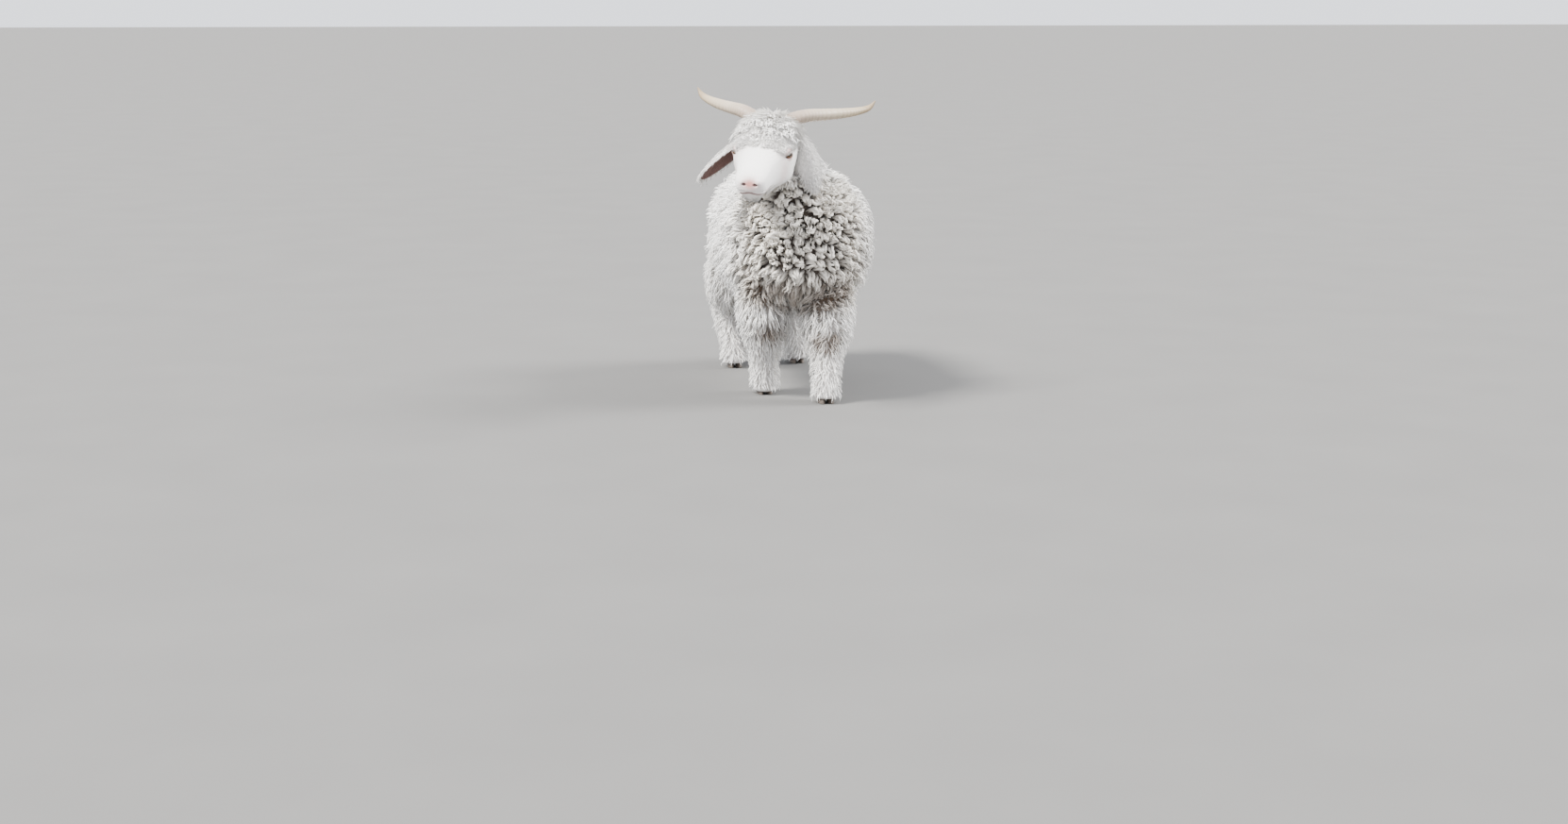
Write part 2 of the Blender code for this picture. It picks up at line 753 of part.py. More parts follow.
def leg_space(leg, collection):
    return new_object("space", *leg.mesh(13, 12, grow=0.002 + GAP, coat=1.0), collection)


def make_trunk(nodes, work, cutters, forms, rng):
    """The torso and the neck as one form, then cut apart along a plane."""
    torso, neck = forms["torso"], forms["neck"]
    body = new_object("torso", *torso.mesh(18, 16, coat="core"), nodes)
    new_object("core", *neck.mesh(9, 14, coat="core"), work)
    trunk_clumps(forms, rng, work)
    combine(body, work, "UNION")
    keep_largest(body)
    thin_out(body, 0.42)
    neck_body = bpy.data.objects.new("neck", body.data.copy())
    nodes.objects.link(neck_body)
    half_space(NECK_CUT_AT - NECK_CUT_NORMAL * GAP / 2, NECK_CUT_NORMAL, cutters)
    for name in LEG_JOINTS:
        leg_space(forms[name], cutters)
    new_object("space", *forms["tail"].mesh(9, 12, grow=GAP, coat=1.0), cutters)
    combine(body, cutters, "DIFFERENCE")
    half_space(NECK_CUT_AT + NECK_CUT_NORMAL * GAP / 2, -NECK_CUT_NORMAL, cutters)
    new_object("space", *forms["head"].mesh(25, 20, grow=GAP), cutters)
    for side in (-1, 1):
        new_object("space", *ear_mesh(side, grow=2 * GAP), cutters)
        new_object("space", *forms["horn", side].mesh(16, 12, grow=GAP), cutters)
    combine(neck_body, cutters, "DIFFERENCE")


def make_leg(name, nodes, work, cutters, forms, rng):
    leg = forms[name]
    body = new_object("leg_" + name, *leg.mesh(13, 12, coat="core"), nodes)
    leg_clumps(leg, [forms["torso"]], rng, work)
    combine(body, work, "UNION")
    keep_largest(body)
    thin_out(body, 0.42)
    new_object("space", *leg.mesh(13, 12, grow=0.002, coat=1.0), work)
    combine(body, work, "INTERSECT")
    for side in (-1, 1):
        hoof(name, side, cutters, grow=GAP)
    half_space((0, 0, FOOT_HEM), (0, 0, -1), cutters)
    combine(body, cutters, "DIFFERENCE")
    for side, inner in ((-1, name.endswith("left")), (1, name.endswith("right"))):
        where = "inner" if inner else "outer"
        hoof(name, side, nodes, name=f"hoof_{name}_{where}")


def make_tail(nodes, work, forms, rng):
    """The tail with clumps that point to its tip."""
    tail = forms["tail"]
    body = new_object("tail", *tail.mesh(9, 12, coat="core"), nodes)

    def upward(root, out):
        return np.array(TAIL_WAY) + out * 0.2

    grow_clumps(tail, TAIL_CLUMP, upward, rng, work, start=0.18)
    combine(body, work, "UNION")
    keep_largest(body)
    thin_out(body, 0.30)
    new_object("space", *tail.mesh(9, 12, coat=1.0), work)
    combine(body, work, "INTERSECT")


def make_head(nodes, work, cutters, forms, rng):
    """The head with its lids, cut back for the eyes, the ears and the horns."""
    head = forms["head"]
    body = new_object("head", *head.mesh(25, 20), nodes)
    for side in (-1, 1):
        ball("lids", eye_at(side), EYE_RADIUS + LID_DEPTH, work)
    forelock(rng, work)
    pebble("lower_lip", in_head(0, 0.240, -0.058), (0.027, 0.026, 0.014), work)
    combine(body, work, "UNION")
    new_object("mouth", *mouth_limb(head).mesh(25, 4), cutters)
    for side in (-1, 1):
        pebble("nostril", in_head(0.0150 * side, 0.2735, -0.0205), (0.0055, 0.0080, 0.0036), cutters)
        lid_opening(side, cutters)
        ball("eye_space", eye_at(side), EYE_RADIUS + GAP, cutters)
        new_object("space", *ear_mesh(side, grow=2 * GAP), cutters)
        new_object("space", *forms["horn", side].mesh(16, 12, grow=GAP), cutters)
    combine(body, cutters, "DIFFERENCE")
    for side, where in ((-1, "right"), (1, "left")):
        ball("eye_" + where, eye_at(side), EYE_RADIUS, nodes)
        new_object("ear_" + where, *ear_mesh(side), nodes)
        new_object("horn_" + where, *forms["horn", side].mesh(16, 12), nodes)


SLOTS = (  # the start of a node's name, and its material
    ("torso", "fleece"), ("neck", "fleece"), ("tail", "fleece"), ("leg", "fleece"),
    ("head", "face"), ("ear", "ear"), ("horn", "horn"), ("hoof", "hoof"), ("eye", "eye"),
)


def main():
    for obj in list(bpy.data.objects):
        bpy.data.objects.remove(obj)
    nodes = new_collection("angora_goat")
    work = new_collection("work")
    cutters = new_collection("cutters")
    forms = {"torso": torso_limb(), "neck": neck_limb(), "head": head_limb(), "tail": tail_limb()}
    forms.update({name: leg_limb(name) for name in LEG_JOINTS})
    forms.update({("horn", side): horn_limb(side) for side in (-1, 1)})
    rng = random.Random(SEED)
    make_trunk(nodes, work, cutters, forms, rng)
    for name in LEG_JOINTS:
        make_leg(name, nodes, work, cutters, forms, rng)
    make_head(nodes, work, cutters, forms, rng)
    make_tail(nodes, work, forms, rng)
    corners = []
    for obj in nodes.objects:
        keep_largest(obj)
        obj.data.materials.clear()
        slot = next(slot for start, slot in SLOTS if obj.name.startswith(start))
        obj.data.materials.append(material(slot))
        corners += [v.co.copy() for v in obj.data.vertices]
    low = Vector([min(c[i] for c in corners) for i in range(3)])
    high = Vector([max(c[i] for c in corners) for i in range(3)])
    shift = Vector((-(low.x + high.x) / 2, -(low.y + high.y) / 2, -low.z))
    for obj in nodes.objects:
        obj.data.transform(Matrix.Translation(shift))
    return shift


SHIFT = main()
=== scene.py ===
"""Angora goat in full fleece: skin, ringlets, horns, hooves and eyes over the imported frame."""
import math

import bmesh
import bpy
import numpy as np
from mathutils import Matrix, Vector
from mathutils.bvhtree import BVHTree


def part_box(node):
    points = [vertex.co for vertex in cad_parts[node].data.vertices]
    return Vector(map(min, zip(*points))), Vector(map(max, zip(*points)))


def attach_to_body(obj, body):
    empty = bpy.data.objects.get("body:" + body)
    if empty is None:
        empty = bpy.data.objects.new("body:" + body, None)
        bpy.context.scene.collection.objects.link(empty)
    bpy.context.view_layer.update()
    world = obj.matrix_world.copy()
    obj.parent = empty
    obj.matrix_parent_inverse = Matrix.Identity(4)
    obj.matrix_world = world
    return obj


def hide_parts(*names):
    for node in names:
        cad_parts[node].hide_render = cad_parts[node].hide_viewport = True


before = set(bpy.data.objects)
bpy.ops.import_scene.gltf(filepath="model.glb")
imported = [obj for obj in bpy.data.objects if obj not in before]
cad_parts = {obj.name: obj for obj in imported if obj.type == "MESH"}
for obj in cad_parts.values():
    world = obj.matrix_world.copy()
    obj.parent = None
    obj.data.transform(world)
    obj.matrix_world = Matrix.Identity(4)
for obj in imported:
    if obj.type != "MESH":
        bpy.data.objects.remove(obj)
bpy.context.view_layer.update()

RNG = np.random.default_rng(11)
TURN = 2 * math.pi

# The driving sizes of the frame, repeated here
WITHERS = 0.585
BODY_LENGTH = 0.72
CHEST_FRONT = -0.315
BODY_MIDDLE = 0.026
RIB_HALF_WIDTH = 0.139
CHEST_FLOOR = 0.300
HEAD_LENGTH = 0.276
HEAD_HALF_WIDTH = 0.085
HORN_RADIUS = 0.0215
EAR_LENGTH = 0.158
EAR_HALF_WIDTH = 0.033
EAR_THICKNESS = 0.0045
EYE_RADIUS = 0.0165
HOOF_LENGTH = 0.052
HOOF_WIDTH = 0.0215
HOOF_HEIGHT = 0.036
FLEECE = 0.088
SKIN_SHARE = 0.40  # how far the skin reaches into the coat
SHORT_HAIR = 0.0025  # depth of the hair on the face
LONG_HAIR = 0.0105  # above this length, a hair on the head bends along its way

# Spacing of the locks' roots and of the staples that gather them
LEG_SPACING = 0.0082
SPACINGS = {"torso": 0.0086, "neck": 0.0084, "tail": 0.0085}
FACE_SPACING = 0.0029
CURL_SPACINGS = {"crown": 0.0066, "cheek": 0.0086, "nape": 0.0068}
STAPLE = 0.024
LEG_STAPLE = 0.019
CURL_STAPLE = 0.020

PIECE_TRIANGLES = 190000  # the most in one piece of coat
WISP_SHARE = 0.36  # share of the roots that also carry a loose strand
WISP_RADIUS = 0.0009
LASHES = 34  # on one lid
LONGEST_PULL = 0.03  # of a tip towards the middle of its staple
CHUNK = 2000  # points compared at a time

# Looks of the fleece: everywhere, with what the chest adds and what a leg adds
PULL = (0.42, 0.50, 0.12)
SWIRL = (0.28, 0.75, 0.16)
LOCK_RADIUS = (0.0041, 0.0013, -0.0009)

MAP_PATCH = 0.003  # size of a lock's patch in the map for the bake
GROUND_GAP = 0.002  # the lowest that a lock reaches
RING_HEIGHT = 0.0015  # growth rings of the horns
KEEL_HEIGHT = 0.0008
FIT = 0.0004  # how far horns lie inside the form of the frame
CLAW_GAP = 0.0016  # from the middle of a foot to each claw

# Places on the head and marks on the coat
LIP_UP = -0.041
LIP_DROP = 0.012
LIP_HALF_WIDTH = 0.046
NOSTRIL_SIDE = 0.0155
KNEES = ((0.080, -0.320, 0.160), (-0.064, -0.220, 0.168))
KNEE_PATCH = (0.050, 0.060, 0.024)
CHEST_MIDDLE = 0.010
HEM_UP = 0.270

HEAD_AT = np.array((-0.073, -0.270, 0.733))
HEAD_YAW = math.radians(22)
HEAD_PITCH = math.radians(18.5)
HEAD_ROLL = math.radians(-4)


def head_axes():
    forward = Vector((
        -math.sin(HEAD_YAW) * math.cos(HEAD_PITCH),
        -math.cos(HEAD_YAW) * math.cos(HEAD_PITCH),
        -math.sin(HEAD_PITCH),
    ))
    left = Vector((math.cos(HEAD_YAW), -math.sin(HEAD_YAW), 0))
    left.rotate(Matrix.Rotation(HEAD_ROLL, 3, forward))
    return np.array(left), np.array(forward), np.array(forward.cross(left))


LEFT, FORWARD, UP = head_axes()


def in_head(side, along, up):
    return HEAD_AT + LEFT * side + FORWARD * along + UP * up


def unit(v):
    v = np.asarray(v, float)
    return v / np.maximum(np.linalg.norm(v, axis=-1, keepdims=True), 1e-9)


def head_way(side, along, up):
    return unit(LEFT * side + FORWARD * along + UP * up)


def dot(a, b):
    return (a * b).sum(-1, keepdims=True)


def far(*parts):
    """The lengths of vectors, from their parts."""
    return np.linalg.norm(np.stack(parts), axis=0)


def columns(*parts):
    return np.stack(parts, axis=1)


def bell(distance, width):
    return np.exp(-((distance / width) ** 2))


def step(x, low, high):
    x = np.clip((x - low) / (high - low), 0, 1)
    return x * x * (3 - 2 * x)


class Form:
    """The same soft forms as the frame's, worked out for many points at once."""

    def __init__(self, rows, side, square=1.0, narrow=0.0, under=1.0, over=1.0, axes=None):
        self.rows = np.array([list(row) for row in rows], float)
        self.side = np.array(side, float)
        self.square = square
        self.narrow = narrow
        self.under = under
        self.over = over
        self.axes = axes

    def row(self, t):
        last = len(self.rows) - 1
        place = np.clip(t, 0, 1) * last
        k = np.minimum(place.astype(int), last - 1)
        f = (place - k)[:, None]
        padded = np.vstack((
            2 * self.rows[0] - self.rows[1], self.rows, 2 * self.rows[-1] - self.rows[-2]
        ))
        p0, p1, p2, p3 = (padded[k + i] for i in range(4))
        return 0.5 * (
            2 * p1 + (p2 - p0) * f + (2 * p0 - 5 * p1 + 4 * p2 - p3) * f**2
            + (3 * p1 - p0 - 3 * p2 + p3) * f**3
        )

    def frame(self, t):
        if self.axes is not None:
            return tuple(np.broadcast_to(a, (len(t), 3)) for a in self.axes)
        low, high = np.maximum(t - 0.02, 0), np.minimum(t + 0.02, 1)
        run = unit(self.row(high)[:, :3] - self.row(low)[:, :3])
        across = unit(self.side - run * dot(self.side, run))
        return across, np.cross(across, run)

    def coat(self, t, turn):
        s = np.sin(turn)
        share = 1 + (self.under - 1) * np.maximum(s, 0) ** 2
        share += (self.over - 1) * np.minimum(s, 0) ** 2
        return np.maximum(self.row(t)[:, 6], 0) * share

    def point(self, t, turn, grow=0.0, coat=0.0):
        row = self.row(t)
        across, front = self.frame(t)
        grow = grow + coat * self.coat(t, turn)
        c, s = np.cos(turn), np.sin(turn)
        c = np.sign(c) * np.abs(c) ** self.square
        s = np.sign(s) * np.abs(s) ** self.square
        wide = np.maximum(row[:, 3] + grow, 0.002) * (1 + self.narrow * s)
        deep = np.maximum(np.where(s > 0, row[:, 4], row[:, 5]) + grow, 0.002)
        return row[:, :3] + across * (wide * c)[:, None] + front * (deep * s)[:, None]

    def normal(self, t, turn, coat=0.0):
        d = 0.01
        low, high = np.maximum(t - d, 0), np.minimum(t + d, 1)
        along = self.point(high, turn, coat=coat) - self.point(low, turn, coat=coat)
        round_ = self.point(t, turn + d, coat=coat) - self.point(t, turn - d, coat=coat)
        n = unit(np.cross(round_, along))
        away = self.point(t, turn, coat=coat) - self.row(t)[:, :3]
        return np.where(dot(n, away) > 0, n, -n)

    def mesh(self, rings, sides, grow=0.0, coat=0.0):
        t, turn = np.meshgrid(np.linspace(0, 1, rings), np.arange(sides) * TURN / sides,
                              indexing="ij")
        return self.point(t.ravel(), turn.ravel(), grow, coat), tube_faces(rings, sides)


def tube_faces(rings, sides):
    """The faces of a closed tube of rings, with a flat face at each end."""
    faces = [tuple(range(sides))[::-1]]
    for i in range(rings - 1):
        for j in range(sides):
            a, b = i * sides + j, i * sides + (j + 1) % sides
            faces.append((a, b, b + sides, a + sides))
    faces.append(tuple((rings - 1) * sides + j for j in range(sides)))
    return faces


def torso_form():
    shares = (
        (0.000, 0.20, 0.800, 1.42, 0.66), (0.030, 0.52, 0.890, 1.22, 0.80),
        (0.090, 0.76, 0.955, 1.10, 0.92), (0.190, 0.93, 1.000, 1.03, 1.00),
        (0.330, 1.00, 0.985, 1.00, 1.02), (0.500, 1.00, 0.965, 0.99, 1.00),
        (0.660, 0.96, 0.970, 1.04, 0.96), (0.800, 0.86, 0.982, 1.13, 0.92),
        (0.900, 0.70, 0.960, 1.24, 0.88), (0.965, 0.46, 0.910, 1.38, 0.78),
        (1.000, 0.18, 0.845, 1.54, 0.66),
    )
    rows = []
    for along, width, top, floor, coat in shares:
        high, low = top * WITHERS, floor * CHEST_FLOOR
        rows.append((
            BODY_MIDDLE, CHEST_FRONT + along * BODY_LENGTH, (high + low) / 2,
            width * RIB_HALF_WIDTH, (high - low) / 2, (high - low) / 2, coat * FLEECE,
        ))
    return Form(rows, (-1, 0, 0), square=0.86, under=0.92, over=0.80)


def neck_form():
    top = in_head(0, -0.030, -0.030)
    base = np.array((BODY_MIDDLE, CHEST_FRONT + 0.215, 0.400))
    low = np.array((BODY_MIDDLE, CHEST_FRONT + 0.145, 0.500))
    mid = low + (top - low) * 0.40
    high = low + (top - low) * 0.76
    rows = (
        (*base, 0.088, 0.110, 0.120, 0.084), (*low, 0.084, 0.112, 0.118, 0.082),
        (*mid, 0.068, 0.086, 0.088, 0.070), (*high, 0.057, 0.066, 0.066, 0.054),
        (*top, 0.048, 0.054, 0.052, 0.040),
    )
    return Form(rows, (1, -0.2, 0), over=0.82)


def head_form():
    shares = (
        (-0.270, 0.36, 0.010, 0.052), (-0.165, 0.74, 0.044, 0.084), (0.000, 0.92, 0.060, 0.100),
        (0.160, 0.99, 0.063, 0.108), (0.325, 1.00, 0.055, 0.108), (0.450, 0.91, 0.043, 0.100),
        (0.580, 0.74, 0.031, 0.087), (0.725, 0.62, 0.022, 0.077), (0.850, 0.57, 0.014, 0.070),
        (0.935, 0.52, 0.004, 0.064), (0.980, 0.41, -0.007, 0.056), (1.000, 0.24, -0.018, 0.044),
        (1.008, 0.11, -0.024, 0.038),
    )
    rows = []
    for along, width, top, floor in shares:
        rows.append((
            *in_head(0, along * HEAD_LENGTH, (top - floor) / 2), width * HEAD_HALF_WIDTH,
            (top + floor) / 2, (top + floor) / 2, 0.012,
        ))
    return Form(rows, LEFT, square=0.86, narrow=0.10, axes=(LEFT, UP))


LEG_JOINTS = {
    "fore_left": ((0.088, -0.165, 0.400), (0.092, -0.190, 0.345), (0.092, -0.225, 0.270),
                  (0.088, -0.258, 0.185), (0.084, -0.272, 0.120), (0.080, -0.288, 0.070),
                  (0.078, -0.297, 0.010)),
    "fore_right": ((-0.072, -0.185, 0.400), (-0.078, -0.180, 0.345), (-0.076, -0.172, 0.270),
                   (-0.073, -0.160, 0.185), (-0.071, -0.145, 0.120), (-0.069, -0.132, 0.070),
                   (-0.068, -0.127, 0.010)),
    "hind_left": ((0.104, 0.225, 0.440), (0.110, 0.255, 0.385), (0.116, 0.310, 0.300),
                  (0.119, 0.415, 0.205), (0.118, 0.402, 0.130), (0.117, 0.385, 0.070),
                  (0.116, 0.376, 0.010)),
    "hind_right": ((-0.082, 0.215, 0.440), (-0.088, 0.235, 0.385), (-0.094, 0.275, 0.300),
                   (-0.094, 0.375, 0.205), (-0.092, 0.358, 0.130), (-0.089, 0.335, 0.070),
                   (-0.087, 0.325, 0.010)),
}
FORE_SECTIONS = (
    (0.044, 0.056, 0.060, 0.004), (0.050, 0.062, 0.066, 0.012), (0.041, 0.046, 0.052, 0.046),
    (0.028, 0.030, 0.031, 0.042), (0.021, 0.022, 0.024, 0.029), (0.020, 0.023, 0.025, 0.026),
    (0.023, 0.028, 0.027, 0.024),
)
HIND_SECTIONS = (
    (0.050, 0.080, 0.090, 0.004), (0.054, 0.086, 0.092, 0.014), (0.045, 0.058, 0.062, 0.046),
    (0.026, 0.028, 0.036, 0.040), (0.021, 0.023, 0.026, 0.031), (0.020, 0.023, 0.025, 0.026),
    (0.023, 0.028, 0.027, 0.024),
)


def leg_form(name):
    sections = FORE_SECTIONS if name.startswith("fore") else HIND_SECTIONS
    rows = [(*joint, *section) for joint, section in zip(LEG_JOINTS[name], sections)]
    return Form(rows, (-1, 0, 0))


TAIL_ROOT = np.array((BODY_MIDDLE, CHEST_FRONT + BODY_LENGTH - 0.075, 0.520))
TAIL_WAY = unit((0, 0.60, 0.80))


def tail_form():
    rows = [
        (*(TAIL_ROOT + TAIL_WAY * along), wide, wide * 0.8, wide * 0.8, coat)
        for along, wide, coat in (
            (0.0, 0.026, 0.010), (0.04, 0.024, 0.016), (0.08, 0.021, 0.030),
            (0.115, 0.017, 0.036), (0.145, 0.012, 0.032), (0.165, 0.005, 0.022),
        )
    ]
    return Form(rows, (1, 0, 0))


def horn_form(side):
    line = (
        (0.026, -0.002, 0.026, 1.00), (0.050, -0.020, 0.047, 1.00),
        (0.088, -0.048, 0.053, 0.95), (0.130, -0.084, 0.046, 0.86),
        (0.174, -0.126, 0.037, 0.74), (0.212, -0.166, 0.031, 0.58),
        (0.238, -0.192, 0.033, 0.42), (0.254, -0.206, 0.049, 0.10),
    )
    rows = [
        (*in_head(x * side, y, z), HORN_RADIUS * share * 0.86, HORN_RADIUS * share,
         HORN_RADIUS * share, 0)
        for x, y, z, share in line
    ]
    return Form(rows, UP)


EAR_LINES = {
    1: ((0.064, -0.002, 0.022), (0.062, 0.010, 0.010), (0.05, 0.32, -0.93), (0.60, 0.74, 0.26)),
    -1: ((-0.066, 0.006, -0.004), (-0.030, 0.0, 0.016), (-0.50, 0.45, -0.66), (-0.53, -0.58, 0.60)),
}


def ear_sheet(side, u, v, depth):
    """Points of an ear at u from root to tip and v from edge to edge, a depth off its back."""
    root, bow, way, face = (np.array(line) for line in EAR_LINES[side])

    def line(u):
        return root + bow * (1 - (1 - u) ** 2) + unit(way) * EAR_LENGTH * u

    u, v, depth = (np.asarray(x, float).reshape(-1, 1) for x in (u, v, depth))
    run = unit(line(np.minimum(u + 0.02, 1)) - line(np.maximum(u - 0.02, 0)))
    across = unit(np.cross(run, unit(face)))
    outer = np.cross(across, run)
    wide = EAR_HALF_WIDTH * (0.36 + 0.64 * np.sin(np.minimum(1, u * 2.2) * math.pi / 2))
    wide = wide * np.sqrt(np.maximum(0.0, 1 - (np.maximum(0, u - 0.40) / 0.61) ** 2.3))
    wide = np.maximum(wide, 0.004)
    cup = wide * (0.95 - 0.45 * u)
    local = line(u) + across * wide * v + outer * (-cup * v * v + cup * 0.4 + depth)
    turned = np.array((LEFT, FORWARD, UP))
    return HEAD_AT + local @ turned, unit(outer + across * v * 1.1) @ turned, run @ turned


def ear_mesh(side, rings=44, half=18):
    """The ear as a thin cupped sheet with a rounded rim."""
    u, k = np.meshgrid(np.linspace(0, 1, rings), np.linspace(-1, 1, half), indexing="ij")
    thick = EAR_THICKNESS * 0.8 * (1 - 0.55 * k * k)
    outer = ear_sheet(side, u.ravel(), k.ravel(), np.full(k.size, -0.0005))[0]
    inner = ear_sheet(side, u.ravel(), -k.ravel(), -0.0005 - thick.ravel())[0]
    points = np.concatenate(
        (outer.reshape(rings, half, 3), inner.reshape(rings, half, 3)), axis=1
    )
    return points.reshape(-1, 3), tube_faces(rings, half * 2)


EYE_SIDE, EYE_ALONG, EYE_UP = 0.0660, 0.112, 0.006
LID_DEPTH = 0.0026
LID_HALF_LENGTH, LID_HALF_HEIGHT = 0.0168, 0.0072


def eye_at(side):
    return in_head(EYE_SIDE * side, EYE_ALONG, EYE_UP)


def eye_axes(side):
    """The directions along the lids, out of the eye and up."""
    out = head_way(0.80 * side, 0.58, 0.12)
    slant = head_way(-0.50 * side, 0.84, -0.20)
    slant = unit(slant - out * (slant @ out))
    return slant, out, np.cross(out, slant) * side * -1


SHIFT = (np.array(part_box("eye_left")[0]) + np.array(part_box("eye_left")[1])) / 2 - eye_at(1)
SHIFT_TO_FRAME = Matrix.Translation(SHIFT)

FORMS = {"torso": torso_form(), "neck": neck_form(), "head": head_form(), "tail": tail_form()}
FORMS.update({name: leg_form(name) for name in LEG_JOINTS})


# Meshes


def link(name, data):
    """Makes an object in the scene."""
    obj = bpy.data.objects.new(name, data)
    bpy.context.scene.collection.objects.link(obj)
    return obj


def new_object(name, points, faces):
    mesh = bpy.data.meshes.new(name)
    mesh.from_pydata([tuple(p) for p in points], [], faces)
    shape = bmesh.new()
    shape.from_mesh(mesh)
    bmesh.ops.recalc_face_normals(shape, faces=shape.faces)
    if shape.calc_volume(signed=True) < 0:
        bmesh.ops.reverse_faces(shape, faces=shape.faces)
    shape.to_mesh(mesh)
    shape.free()
    return link(name, mesh)


def ball(name, at, radius, across=48, down=32):
    shape = bmesh.new()
    bmesh.ops.create_uvsphere(shape, u_segments=across, v_segments=down, radius=radius,
                              matrix=Matrix.Translation(at))
    mesh = bpy.data.meshes.new(name)
    shape.to_mesh(mesh)
    shape.free()
    return link(name, mesh)


def add_map(mesh, name, values):
    """Adds an unwrap with a place for each corner of each face."""
    mesh.uv_layers.new(name=name).uv.foreach_set("vector", values.astype(np.float32).ravel())


def paint(mesh, name, values):
    """Writes three values for each vertex as a colour."""
    colours = np.ones((len(values), 4), np.float32)
    colours[:, :3] = values
    layer = mesh.attributes.new(name, "FLOAT_COLOR", "POINT")
    layer.data.foreach_set("color", colours.ravel())


def pebble(name, at, radii):
    """A ball drawn out along the head's own directions."""
    turn = Matrix((LEFT, FORWARD, UP)).transposed().to_4x4()
    obj = ball(name, (0, 0, 0), 1, 32, 20)
    obj.data.transform(Matrix.Translation(at) @ turn @ Matrix.Diagonal((*radii, 1)))
    obj.data.flip_normals()
    return obj


def settle(obj, *modifiers):
    """Applies modifiers, each a kind and its settings."""
    for kind, settings in modifiers:
        made = obj.modifiers.new(kind, kind)
        for key, value in settings.items():
            setattr(made, key, value)
    graph = bpy.context.evaluated_depsgraph_get()
    mesh = bpy.data.meshes.new_from_object(obj.evaluated_get(graph))
    obj.modifiers.clear()
    old = obj.data
    obj.data = mesh
    bpy.data.meshes.remove(old)


def even_out(obj, voxel, factor, rounds):
    """Turns a joined form into one even surface and smooths it."""
    settle(obj, ("REMESH", {"mode": "VOXEL", "voxel_size": voxel}),
           ("SMOOTH", {"factor": factor, "iterations": rounds}))


def combine(obj, others, operation):
    """Joins or cuts obj by other objects, which are then removed."""
    group = bpy.data.collections.new("group")
    bpy.context.scene.collection.children.link(group)
    for other in others:
        group.objects.link(other)
    settle(obj, ("BOOLEAN", {"operation": operation, "solver": "MANIFOLD",
                             "operand_type": "COLLECTION", "collection": group}))
    for other in others:
        mesh = other.data
        bpy.data.objects.remove(other)
        bpy.data.meshes.remove(mesh)
    bpy.data.collections.remove(group)


def mouth_form():
    """The line between the lips, from one corner round the muzzle to the other."""
    head = FORMS["head"]
    t = 0.585 + 0.32 * np.arange(8) / 7
    row = head.row(t)
    up = -0.052 + 0.011 * np.minimum(1, np.arange(8) / 4)
    rise = (up - (row[:, :3] - HEAD_AT) @ UP) / row[:, 4]
    half = head.point(t, np.arcsin(-np.minimum(0.98, np.abs(rise)) ** (1 / head.square)),
                      grow=-SHORT_HAIR)
    middle = in_head(0, 0.2735, LIP_UP)[None]
    mirrored = half - 2 * LEFT * ((half - HEAD_AT) @ LEFT)[:, None]
    line = np.concatenate((half, middle, mirrored[::-1]))
    return Form([(*point, 0.0019, 0.0052, 0.0052, 0) for point in line], UP)


def lid_opening(side):
    """The almond-shaped space between the lids, wider at its outer end."""
    slant, out, rise = eye_axes(side)
    points = []
    for depth, spread in ((0.004, 0.9), (0.040, 1.3)):
        for j in range(28):
            a = TURN * j / 28
            x = math.cos(a) * LID_HALF_LENGTH
            z = math.copysign(abs(math.sin(a)) ** 1.35, math.sin(a)) * LID_HALF_HEIGHT
            points.append(eye_at(side) + out * depth + (slant * x + rise * z) * spread)
    return new_object("almond", points, tube_faces(2, 28))


def make_skin():
    """One closed skin from the nose to the fetlocks, with fine ears and face."""
    body = new_object("skin", *FORMS["torso"].mesh(60, 56, coat=SKIN_SHARE))
    parts = [new_object("part", *FORMS["neck"].mesh(30, 40, coat=SKIN_SHARE)),
             new_object("part", *FORMS["tail"].mesh(20, 20, coat=SKIN_SHARE))]
    for name in LEG_JOINTS:
        parts.append(new_object("part", *FORMS[name].mesh(50, 32, coat=SKIN_SHARE)))
    combine(body, parts, "UNION")
    even_out(body, voxel=0.0055, factor=0.5, rounds=8)
    head = new_object("head_skin", *FORMS["head"].mesh(90, 72, grow=-SHORT_HAIR))
    parts = [ball("lids", eye_at(side), EYE_RADIUS + LID_DEPTH) for side in (-1, 1)]
    parts.append(pebble("lip", in_head(0, 0.238, -0.058), (0.027, 0.027, 0.016)))
    parts.append(pebble("chin", in_head(0, 0.214, -0.068), (0.022, 0.034, 0.015)))
    for side in (-1, 1):
        parts.append(pebble("cheek", in_head(0.046 * side, 0.080, -0.052), (0.033, 0.046, 0.040)))
        parts.append(pebble("brow", in_head(0.055 * side, 0.104, 0.019), (0.022, 0.036, 0.010)))
        parts.append(pebble("wing", in_head(0.0200 * side, 0.256, -0.0165), (0.013, 0.020, 0.0125)))
        parts.append(pebble("jaw", in_head(0.022 * side, 0.104, -0.074), (0.020, 0.076, 0.024)))
    combine(head, parts, "UNION")
    even_out(head, voxel=0.0026, factor=0.6, rounds=16)
    parts = [new_object("mouth", *mouth_form().mesh(60, 12))]
    for side in (-1, 1):
        parts.append(pebble("nostril", in_head(NOSTRIL_SIDE * side, 0.2705, -0.0200),
                            (0.0066, 0.0100, 0.0040)))
        parts.append(lid_opening(side))
        parts.append(ball("eye_space", eye_at(side), EYE_RADIUS + 0.0004))
    combine(head, parts, "DIFFERENCE")
    even_out(head, voxel=0.0018, factor=0.5, rounds=2)
    ears = [new_object("ear", *ear_mesh(side)) for side in (-1, 1)]
    combine(body, [head] + ears, "UNION")
    body.data.shade_smooth()
    return body


# Markings and painted shade, the same for skin and coat


def local(points):
    """Points in the head's own directions."""
    away = points - HEAD_AT
    return away @ LEFT, away @ FORWARD, away @ UP


